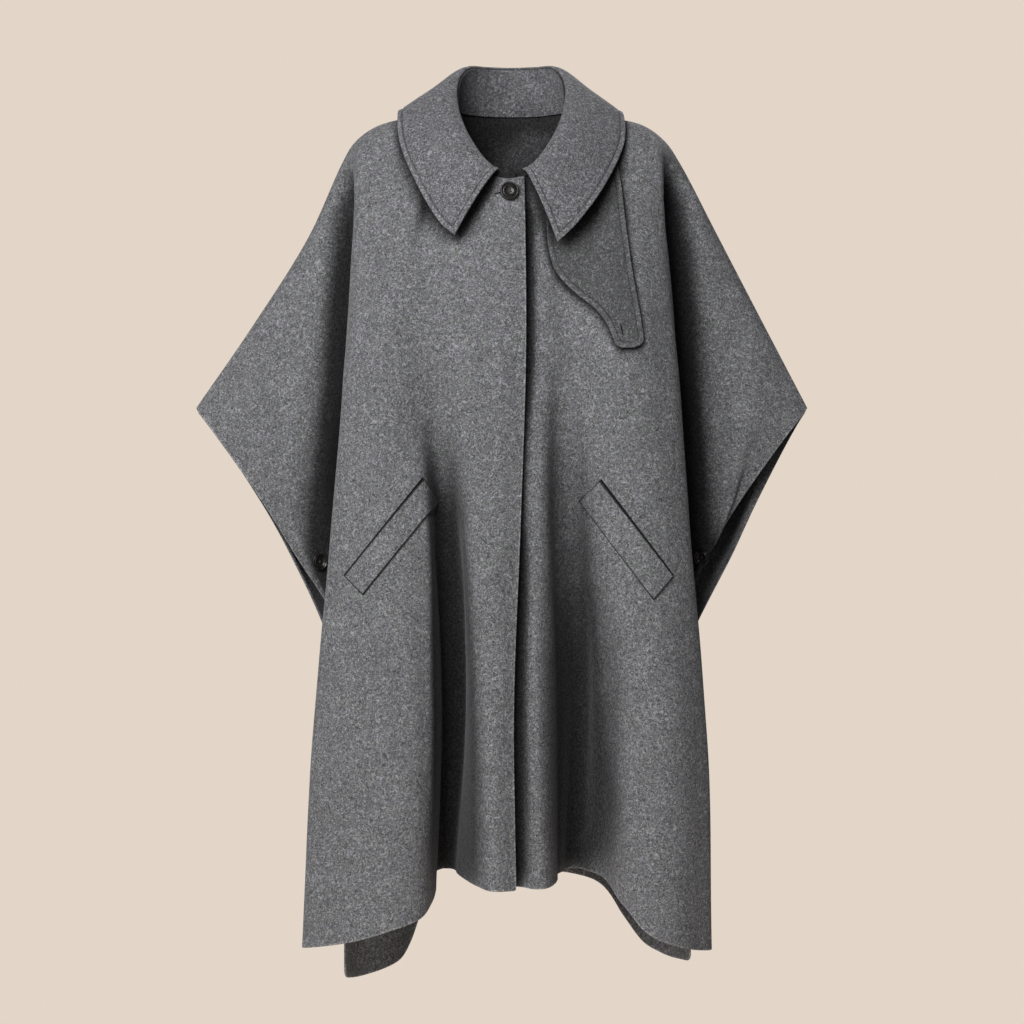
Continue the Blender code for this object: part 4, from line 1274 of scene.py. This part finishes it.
# %% How deep each fold is, for painted shade
LOOKS = 28
NEAR = 0.16
GOLDEN_TURN = 2.399963
LOOK_LIFT = 0.0008
INSIDE_SHARE = 0.60
HEM_SHARE = 0.35
NECK_HEIGHTS = (-0.25, -0.12)
HEM_DROPS = (0.85, 0.98)
# Least painted shade on the insides round the neck and on the stand's inside.
INSIDE_LEAST_SHADE = 0.17
STAND_LEAST_SHADE = 0.38


def looks_out():
    """Directions over a half sphere, more of them near its middle."""
    made = []
    for index in range(LOOKS):
        reach = math.sqrt((index + 0.5) / LOOKS)
        turn = index * GOLDEN_TURN
        made.append(Vector((reach * math.cos(turn), reach * math.sin(turn), math.sqrt(1 - reach * reach))))
    return made


def fold_depth(grid, facing, tree):
    """The share of directions from each point of a grid in which cloth is near."""
    rows = np.unique(np.append(np.arange(0, grid.shape[0], 2), grid.shape[0] - 1))
    columns = np.unique(np.append(np.arange(0, grid.shape[1], 2), grid.shape[1] - 1))
    coarse = np.zeros((len(rows), len(columns)))
    directions = looks_out()
    for place in np.ndindex(coarse.shape):
        row, column = rows[place[0]], columns[place[1]]
        up = Vector(facing[row, column])
        start = Vector(grid[row, column]) + up * LOOK_LIFT
        turn = up.to_track_quat("Z", "Y")
        met = sum(1 for look in directions if tree.ray_cast(start, turn @ look, NEAR)[0] is not None)
        coarse[place] = met / LOOKS
    coarse = relax(coarse, 2)
    wide = np.array([np.interp(np.arange(grid.shape[1]), columns, line) for line in coarse])
    tall = [np.interp(np.arange(grid.shape[0]), rows, line) for line in wide.T]
    return np.array(tall).T


def inside_painted_shade(grid, depth, least):
    """Painted shade depth of an inside face: more round the neck and less at the hem, where light gets in."""
    neck = fade(grid[..., 2], *NECK_HEIGHTS)
    hem = fade(-grid[..., 2], *HEM_DROPS)
    return np.clip(depth * (INSIDE_SHARE + neck - HEM_SHARE * hem) + least * neck, 0.0, 1.0)


def store_painted_fold_shade(piece, inner, outer, outside, least=INSIDE_LEAST_SHADE):
    """Store the fold depth of both faces of a shell, which paints shade into its wool."""
    facing = normals_of(outer, outside)
    within = inside_painted_shade(inner, fold_depth(inner, -facing, cover), least)
    values = np.concatenate([within.ravel(), fold_depth(outer, facing, cover).ravel()])
    piece.data.attributes.new("fold", "FLOAT", "POINT").data.foreach_set("value", values.astype(np.float32))
    print(piece.name, "folds from", round(float(values.min()), 2), "to", round(float(values.max()), 2))


cover = tree_of(right_outer, left_outer, back_outer, flap_outer, stand_outer, leaf_outer)
# Paint shade into each cloth piece by its fold depth.
store_painted_fold_shade(right_cloth, right_inner, right_outer, FRONT)
store_painted_fold_shade(left_cloth, left_inner, left_outer, FRONT)
store_painted_fold_shade(back_cloth, back_inner, back_outer, BACK)
store_painted_fold_shade(stand_cloth, stand_inner, stand_outer, STAND_OUTSIDE, STAND_LEAST_SHADE)
store_painted_fold_shade(flap_cloth, flap_inner, flap_outer, FRONT, 0.0)
store_painted_fold_shade(welt_right_cloth, *welt_right_faces, FRONT, 0.0)
store_painted_fold_shade(welt_left_cloth, *welt_left_faces, FRONT, 0.0)
store_painted_fold_shade(leaf_cloth, leaf_inner, leaf_outer, LEAF_OUTSIDE)

# %% [markdown]
# The groove is drawn tight by a row of machine stitches in matching thread. Each stitch is a small
# spindle lying along the groove, a little over three millimetres apart. They are one mesh for each
# piece, because hundreds of objects would be slow and hard to move.

# %% Stitches
thread = make_mottled("grey thread", 1800.0, (0.060, 0.060, 0.063), (0.150, 0.150, 0.156), 0.75)
STITCH_LENGTH = 0.0026
STITCH_PITCH = 0.0034
STITCH_RADIUS = 0.00028
SPINDLE = ((-1.0, 0.0), (-0.8, 0.7), (-0.3, 1.0), (0.3, 1.0), (0.8, 0.7), (1.0, 0.0))
SPINDLE_SIDES = 6


def spindle(centre, along, up, length, radius):
    """Points and faces of one stitch."""
    side = np.cross(along, up)
    points = []
    for place, share in SPINDLE[1:-1]:
        for turn in range(SPINDLE_SIDES):
            angle = 2 * math.pi * turn / SPINDLE_SIDES
            ring = side * math.cos(angle) + up * math.sin(angle)
            points.append(centre + along * place * length / 2 + ring * radius * share)
    points.append(centre - along * length / 2)
    points.append(centre + along * length / 2)
    faces = []
    rings = len(SPINDLE) - 2
    for ring in range(rings - 1):
        for turn in range(SPINDLE_SIDES):
            here = ring * SPINDLE_SIDES + turn
            there = ring * SPINDLE_SIDES + (turn + 1) % SPINDLE_SIDES
            faces.append((here, there, there + SPINDLE_SIDES, here + SPINDLE_SIDES))
    for turn in range(SPINDLE_SIDES):
        after = (turn + 1) % SPINDLE_SIDES
        last = (rings - 1) * SPINDLE_SIDES
        faces.append((after, turn, rings * SPINDLE_SIDES))
        faces.append((last + turn, last + after, rings * SPINDLE_SIDES + 1))
    return points, faces


def stitch_along(name, path, ups, pitch=STITCH_PITCH, length=STITCH_LENGTH, radius=STITCH_RADIUS):
    """One mesh of stitches along a path."""
    total = length_of(path)
    count = int(total / pitch)
    places = (np.arange(count) + 0.5) / count
    centres = resample(path, places)
    aheads = resample(path, np.minimum(places + 0.001, 1.0))
    behinds = resample(path, np.maximum(places - 0.001, 0.0))
    lifts = resample(path, places, ups)
    points = []
    faces = []
    for centre, ahead, behind, up in zip(centres, aheads, behinds, lifts):
        along = unit(ahead - behind)
        up = unit(up - along * (up @ along))
        made, found = spindle(centre, along, up, length, radius)
        faces += [tuple(index + len(points) for index in face) for face in found]
        points += made
    piece = link_mesh(name, np.array(points), faces, thread)
    print(name, count, "stitches")
    return piece


def groove_path(grid, inset, last=None):
    """The path of a groove down the left side, along the last row and up the right side of a grid."""
    last = grid.shape[0] - 1 - inset if last is None else last
    right = grid.shape[1] - 1 - inset
    return np.concatenate([grid[:last, inset], grid[last, inset:right], grid[last::-1, right]])


INSET_INDEX = 9
leaf_path = groove_path(leaf_outer, INSET_INDEX)
leaf_stitches = stitch_along("collar_stitches", leaf_path, groove_path(leaf_facing, INSET_INDEX))


def flap_groove():
    """The stitched line of the flap: both sides, joined round the tip."""
    gaps = borders(flap_outer, ("end",))
    last = int(np.argmax(gaps[:, flap_outer.shape[1] // 2] < STITCH_INSET))
    last = min(last, flap_outer.shape[0] - 2)
    return groove_path(flap_outer, INSET_INDEX, last), groove_path(flap_facing, INSET_INDEX, last)


flap_stitches = stitch_along("flap_stitches", *flap_groove())

# %% [markdown]
# The flap ends in a buttonhole with nothing through it, and another lies beside the neck button.
# Each is a slit painted as a near-black sheet of shade, edged with close hand stitches.

# %% Buttonholes
SLIT_LIFT = 0.00005
SLIT_WALL = 0.00020
SLIT_END = 0.0002
EDGE_GAP = 0.0005
EDGE_LIFT = 0.0001
EDGE_PITCH = 0.0008
EDGE_STITCH = 0.0009
EDGE_RADIUS = 0.00022


def make_buttonhole(name, tree, start, end, width):
    """A slit of painted shade between two places in the picture plane, and its worked edge."""
    low = np.array([start[0], 0.0, start[1]]) * MM
    high = np.array([end[0], 0.0, end[1]]) * MM
    along = unit(high - low)
    side = np.array([along[2], 0.0, -along[0]])
    shares = np.linspace(0.0, 1.0, 25)
    swell = width * MM * (0.25 + 0.75 * np.sin(shares * math.pi) ** 0.5) * (0.7 + 0.6 * shares)
    swell[0] = SLIT_END
    swell[-1] = SLIT_END
    middle = low + (high - low) * shares[:, None]
    rows = np.stack([middle + side * swell[:, None] * place for place in (-1.0, -0.4, 0.4, 1.0)], axis=1)
    patch = drop_on(tree, rows, SLIT_LIFT)
    raised = patch + normals_of(patch, FRONT) * SLIT_WALL
    slit = shell(name + "_slit", patch, raised, borders(patch, ()), FRONT, painted_slit_shade)
    rings = []
    for place in (-1.0, 1.0):
        line = middle + side * (swell[:, None] + EDGE_GAP) * place
        rings.append(line if place < 0 else line[::-1])
    ring = np.concatenate(rings)
    ring = drop_on(tree, np.concatenate([ring, ring[:1]])[None], EDGE_LIFT)[0]
    ups = np.tile(np.array(FRONT), (len(ring), 1))
    edge = stitch_along(name + "_edge", ring, ups, EDGE_PITCH, EDGE_STITCH, EDGE_RADIUS)
    return slit, edge


flap_tree = tree_of(facing_grid(flap_outer, FRONT))
flap_slit_shade, flap_slit_edge = make_buttonhole("flap_buttonhole", flap_tree, (135.7, -264.0), (139.0, -279.0),
                                            0.75)
neck_slit_shade, neck_slit_edge = make_buttonhole("neck_buttonhole", right_tree, (-17.0, -106.0), (-4.0, -103.5),
                                            0.8)

# %% [markdown]
# The buttons are polished black horn with a heavy rim, a groove, a second low ring and a dished
# middle with four holes. They are turned from a profile, as on a lathe, and a Boolean drills the
# holes. Four strands of thread cross the middle and sew them on.

# %% Horn
horn = bpy.data.materials.new("black horn")
horn.use_nodes = True
horn_tree = horn.node_tree
horn_shader = horn_tree.nodes["Principled BSDF"]
horn_where = horn_tree.nodes.new("ShaderNodeTexCoord").outputs["Object"]
horn_cloud = add_noise(horn_tree, horn_where, 260.0, 4.0, distortion=1.2)
horn_colour = blend_colours(horn_tree, soft_step(horn_tree, horn_cloud, 0.35, 0.75),
                            (0.0045, 0.0042, 0.0042, 1.0), (0.020, 0.017, 0.015, 1.0))
horn_tree.links.new(horn_colour, horn_shader.inputs["Base Color"])
horn_drawn = shifted(horn_tree, horn_where, (0.0, 0.0, 0.0), (1.0, 1.0, 6.0))
horn_scratch = add_noise(horn_tree, horn_drawn, 900.0, 3.0)
horn_tree.links.new(soft_step(horn_tree, horn_scratch, 0.3, 0.8, 0.30, 0.48), horn_shader.inputs["Roughness"])
horn_shader.inputs["IOR"].default_value = 1.54
horn_shader.inputs["Specular IOR Level"].default_value = 0.38
horn_shader.inputs["Coat Weight"].default_value = 0.15
horn_shader.inputs["Coat Roughness"].default_value = 0.16

dark_thread = make_mottled("dark thread", 2500.0, (0.020, 0.020, 0.021), (0.070, 0.070, 0.072), 0.6)

# %% Buttons
BUTTON_SIDES = 64
BUTTON_PROFILE = (
    (0.0, 0.19), (0.16, 0.19), (0.30, 0.20), (0.42, 0.225), (0.50, 0.26), (0.555, 0.31), (0.60, 0.335),
    (0.645, 0.325), (0.68, 0.295), (0.71, 0.285), (0.745, 0.31), (0.79, 0.38), (0.84, 0.425),
    (0.89, 0.435), (0.94, 0.415), (0.975, 0.36), (0.995, 0.29), (1.0, 0.23), (0.985, 0.175),
    (0.94, 0.135), (0.85, 0.115), (0.60, 0.105), (0.32, 0.105), (0.28, 0.08), (0.26, 0.0), (0.0, 0.0),
)
HOLE_SPACING = 0.155
HOLE_RADIUS = 0.075
HOLE_SIDES = 16
DRILL_TOP = 0.4
DRILL_END = 0.06
STRAND_GAP = 0.022
STRAND_RADIUS = 0.026
STRAND_BASE = 0.19
STRAND_RISE = 0.225
STRAND_OVER = 0.03
STRAND_SIDES = 8
STRAND_POINTS = 13


def turned(name, profile, sides, material):
    """A solid turned from a profile of (radius, height) that starts and ends on its axis."""
    points = [(0.0, 0.0, profile[0][1])]
    for radius, height in profile[1:-1]:
        for turn in range(sides):
            angle = 2 * math.pi * turn / sides
            points.append((radius * math.cos(angle), radius * math.sin(angle), height))
    points.append((0.0, 0.0, profile[-1][1]))
    faces = []
    rings = len(profile) - 2
    for turn in range(sides):
        after = (turn + 1) % sides
        faces.append((0, 1 + turn, 1 + after))
        last = 1 + (rings - 1) * sides
        faces.append((last + after, last + turn, len(points) - 1))
        for ring in range(rings - 1):
            here = 1 + ring * sides
            faces.append((here + turn, here + sides + turn, here + sides + after, here + after))
    return link_mesh(name, np.array(points), faces, material)


def hole_place(corner, radius):
    """The middle of one of the four holes, and the way round the button there."""
    angle = math.pi / 4 + corner * math.pi / 2
    reach = HOLE_SPACING * radius * math.sqrt(2)
    middle = Vector((reach * math.cos(angle), reach * math.sin(angle), 0.0))
    return middle, Vector((-math.sin(angle), math.cos(angle), 0.0))


def make_button(name, radius, centre, normal, spin):
    """A button on the cloth, with its holes drilled and its thread."""
    up = Vector(normal).normalized()
    place = Matrix.Translation(Vector(centre)) @ up.to_track_quat("Z", "Y").to_matrix().to_4x4()
    place = place @ Matrix.Rotation(spin, 4, "Z")
    profile = [(share * radius, height * radius) for share, height in BUTTON_PROFILE]
    button = turned(name, profile, BUTTON_SIDES, horn)
    bore = HOLE_RADIUS * radius
    drill_top, drill_end = DRILL_TOP * radius, DRILL_END * radius
    for corner in range(4):
        drill = turned("drill", [(0.0, drill_top), (bore, drill_top), (bore, drill_end), (0.0, drill_end)],
                       HOLE_SIDES, horn)
        drill.data.transform(Matrix.Translation(hole_place(corner, radius)[0]))
        cut = button.modifiers.new("hole", "BOOLEAN")
        cut.operation = "DIFFERENCE"
        cut.object = drill
        bpy.context.view_layer.update()
        cut_mesh = bpy.data.meshes.new_from_object(
            button.evaluated_get(bpy.context.evaluated_depsgraph_get()))
        button.modifiers.clear()
        button.data = cut_mesh
        bpy.data.objects.remove(drill, do_unlink=True)
    button.data.shade_smooth()
    button.data.set_sharp_from_angle(angle=math.radians(40))
    button.data.transform(place)
    points = []
    faces = []
    for pair in (0, 1):
        rise = (STRAND_RISE + STRAND_OVER * pair) * radius
        for offset in (-STRAND_GAP, STRAND_GAP):
            start, start_side = hole_place(pair, radius)
            end, end_side = hole_place(pair + 2, radius)
            start = start + start_side * offset * radius
            end = end - end_side * offset * radius
            made, found = tube_between(start, end, rise, STRAND_BASE * radius, STRAND_RADIUS * radius)
            faces += [tuple(index + len(points) for index in face) for face in found]
            points += [place @ point for point in made]
    sewn = link_mesh(name + "_thread", np.array(points), faces, dark_thread)
    print(name, len(button.data.polygons), "faces")
    return button, sewn


def tube_between(start, end, rise, base, radius):
    """A strand that comes up at one hole, crosses, and goes down at another."""
    path = []
    low = base * 0.75
    for share in np.linspace(0.0, 1.0, STRAND_POINTS):
        flat = start.lerp(end, float(share))
        bow = math.sin(share * math.pi) ** 0.5
        path.append(Vector((flat.x, flat.y, low + (rise - low) * bow)))
    points = []
    faces = []
    for index, point in enumerate(path):
        along = path[min(index + 1, len(path) - 1)] - path[max(index - 1, 0)]
        side = along.cross(Vector((0.0, 0.0, 1.0))).normalized()
        up = side.cross(along).normalized()
        for turn in range(STRAND_SIDES):
            angle = 2 * math.pi * turn / STRAND_SIDES
            points.append(point + (side * math.cos(angle) + up * math.sin(angle)) * radius)
    for ring in range(len(path) - 1):
        for turn in range(STRAND_SIDES):
            here = ring * STRAND_SIDES + turn
            there = ring * STRAND_SIDES + (turn + 1) % STRAND_SIDES
            faces.append((here, here + STRAND_SIDES, there + STRAND_SIDES, there))
    faces.append(tuple(range(STRAND_SIDES)))
    faces.append(tuple(range(len(points) - 1, len(points) - 1 - STRAND_SIDES, -1)))
    return points, faces


def button_seat(tree, x, z):
    """Where a button sits on the cloth seen from the front at x and z in mm, and the way it faces."""
    found, normal, _, _ = tree.ray_cast(Vector((x * MM, -1.0, z * MM)), Vector((0.0, 1.0, 0.0)))
    return found + normal * SEAM_GAP, normal


neck_button, neck_thread = make_button("horn_button_neck", 0.0116, *button_seat(right_tree, 2, -103), 0.3)
right_button, right_thread = make_button("horn_button_side_right", 0.0105,
                                         *button_seat(right_tree, -234, -554), 0.9)
left_button, left_thread = make_button("horn_button_side_left", 0.0105,
                                       *button_seat(left_tree, 241, -549), 0.1)

# %% [markdown]
# Every piece now rides on the coat's one body, and each main piece stands for its CAD node, which is
# hidden. Small worked pieces ride on the same body as the cloth that carries them.

# %% Bodies and hidden CAD nodes
for piece, node, slot in (
        (right_cloth, "front_right", "wool"), (left_cloth, "front_left", "wool"),
        (back_cloth, "back", "wool"), (flap_cloth, "storm_flap", "wool"),
        (welt_right_cloth, "welt_right", "wool"), (welt_left_cloth, "welt_left", "wool"),
        (stand_cloth, "collar_stand", "wool_collar"), (leaf_cloth, "collar_leaf", "wool_collar"),
        (neck_button, "button_neck", "button"), (right_button, "button_side_right", "button"),
        (left_button, "button_side_left", "button")):
    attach(piece, "root")
    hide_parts(node)
for piece, slot in (
        (mouth_shade_right, "wool"), (mouth_shade_left, "wool"), (leaf_stitches, "wool_collar"),
        (flap_stitches, "wool"), (flap_slit_shade, "wool"), (flap_slit_edge, "wool"), (neck_slit_shade, "wool"),
        (neck_slit_edge, "wool"), (neck_thread, "button"), (right_thread, "button"),
        (left_thread, "button")):
    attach(piece, "root")

# %% [markdown]
# The set is plain: a pale floor well below the hem, a warm pale surround and three square lights. A
# large soft key light stands at the upper left, a weak fill low in front reaches the hem, and a third
# light shows the back. The surround shows its own colour to the camera and lights the coat more
# dimly, which keeps the deep folds dark. The floor fades out before its rim, so no edge shows.

# %% Set and lights
SURROUND = (0.768, 0.672, 0.584)
FLOOR_HEIGHT = -1.36
FLOOR_RADIUS = 1.3


def make_floor():
    """A pale disc that fades to nothing at its rim."""
    sides = 96
    points = [(0.0, 0.0, FLOOR_HEIGHT)]
    for turn in range(sides):
        angle = 2 * math.pi * turn / sides
        points.append((FLOOR_RADIUS * math.cos(angle), FLOOR_RADIUS * math.sin(angle), FLOOR_HEIGHT))
    faces = [(0, 1 + turn, 1 + (turn + 1) % sides) for turn in range(sides)]
    material = bpy.data.materials.new("pale floor")
    material.use_nodes = True
    tree = material.node_tree
    shader = tree.nodes["Principled BSDF"]
    where = tree.nodes.new("ShaderNodeTexCoord").outputs["Object"]
    parts = tree.nodes.new("ShaderNodeSeparateXYZ")
    tree.links.new(where, parts.inputs[0])
    across = maths(tree, "MULTIPLY", parts.outputs[0], parts.outputs[0])
    deep = maths(tree, "MULTIPLY", parts.outputs[1], parts.outputs[1])
    reach = maths(tree, "SQRT", maths(tree, "ADD", across, deep), 0.0)
    tree.links.new(soft_step(tree, reach, FLOOR_RADIUS * 0.98, FLOOR_RADIUS * 0.45), shader.inputs["Alpha"])
    tint = blend_colours(tree, add_noise(tree, where, 3.0, 3.0), (0.74, 0.65, 0.565, 1.0),
                         (0.77, 0.675, 0.585, 1.0))
    tree.links.new(tint, shader.inputs["Base Color"])
    shader.inputs["Roughness"].default_value = 0.9
    return link_mesh("floor", np.array(points), faces, material)


make_floor()

world = bpy.data.worlds.new("surround")
bpy.context.scene.world = world
world.use_nodes = True
world_tree = world.node_tree
world_tree.nodes.clear()
seen = world_tree.nodes.new("ShaderNodeBackground")
seen.inputs["Color"].default_value = SURROUND + (1.0,)
lit = world_tree.nodes.new("ShaderNodeBackground")
lit.inputs["Color"].default_value = (1.0, 0.985, 0.97, 1.0)
lit.inputs["Strength"].default_value = 0.09
choose = world_tree.nodes.new("ShaderNodeMixShader")
world_tree.links.new(world_tree.nodes.new("ShaderNodeLightPath").outputs["Is Camera Ray"], choose.inputs[0])
world_tree.links.new(lit.outputs[0], choose.inputs[1])
world_tree.links.new(seen.outputs[0], choose.inputs[2])
world_tree.links.new(choose.outputs[0], world_tree.nodes.new("ShaderNodeOutputWorld").inputs["Surface"])


def add_light(name, place, target, size, power, colour):
    """A square area light that looks at a point."""
    data = bpy.data.lights.new(name, "AREA")
    data.size = size
    data.energy = power
    data.color = colour
    light = bpy.data.objects.new(name, data)
    light.location = place
    light.rotation_euler = (Vector(target) - Vector(place)).to_track_quat("-Z", "Y").to_euler()
    bpy.context.scene.collection.objects.link(light)


add_light("key", (-1.3, -3.1, 1.3), (0.0, 0.0, -0.45), 2.2, 151.0, (1.0, 0.99, 0.98))
add_light("fill", (-0.3, -2.8, -1.7), (0.0, 0.0, -0.8), 2.0, 8.0, (0.97, 0.98, 1.0))
add_light("behind", (0.6, 2.6, 1.2), (0.0, 0.0, -0.4), 1.8, 60.0, (1.0, 0.99, 0.98))
bpy.context.scene.view_settings.view_transform = "Standard"
print("set and lights ready")
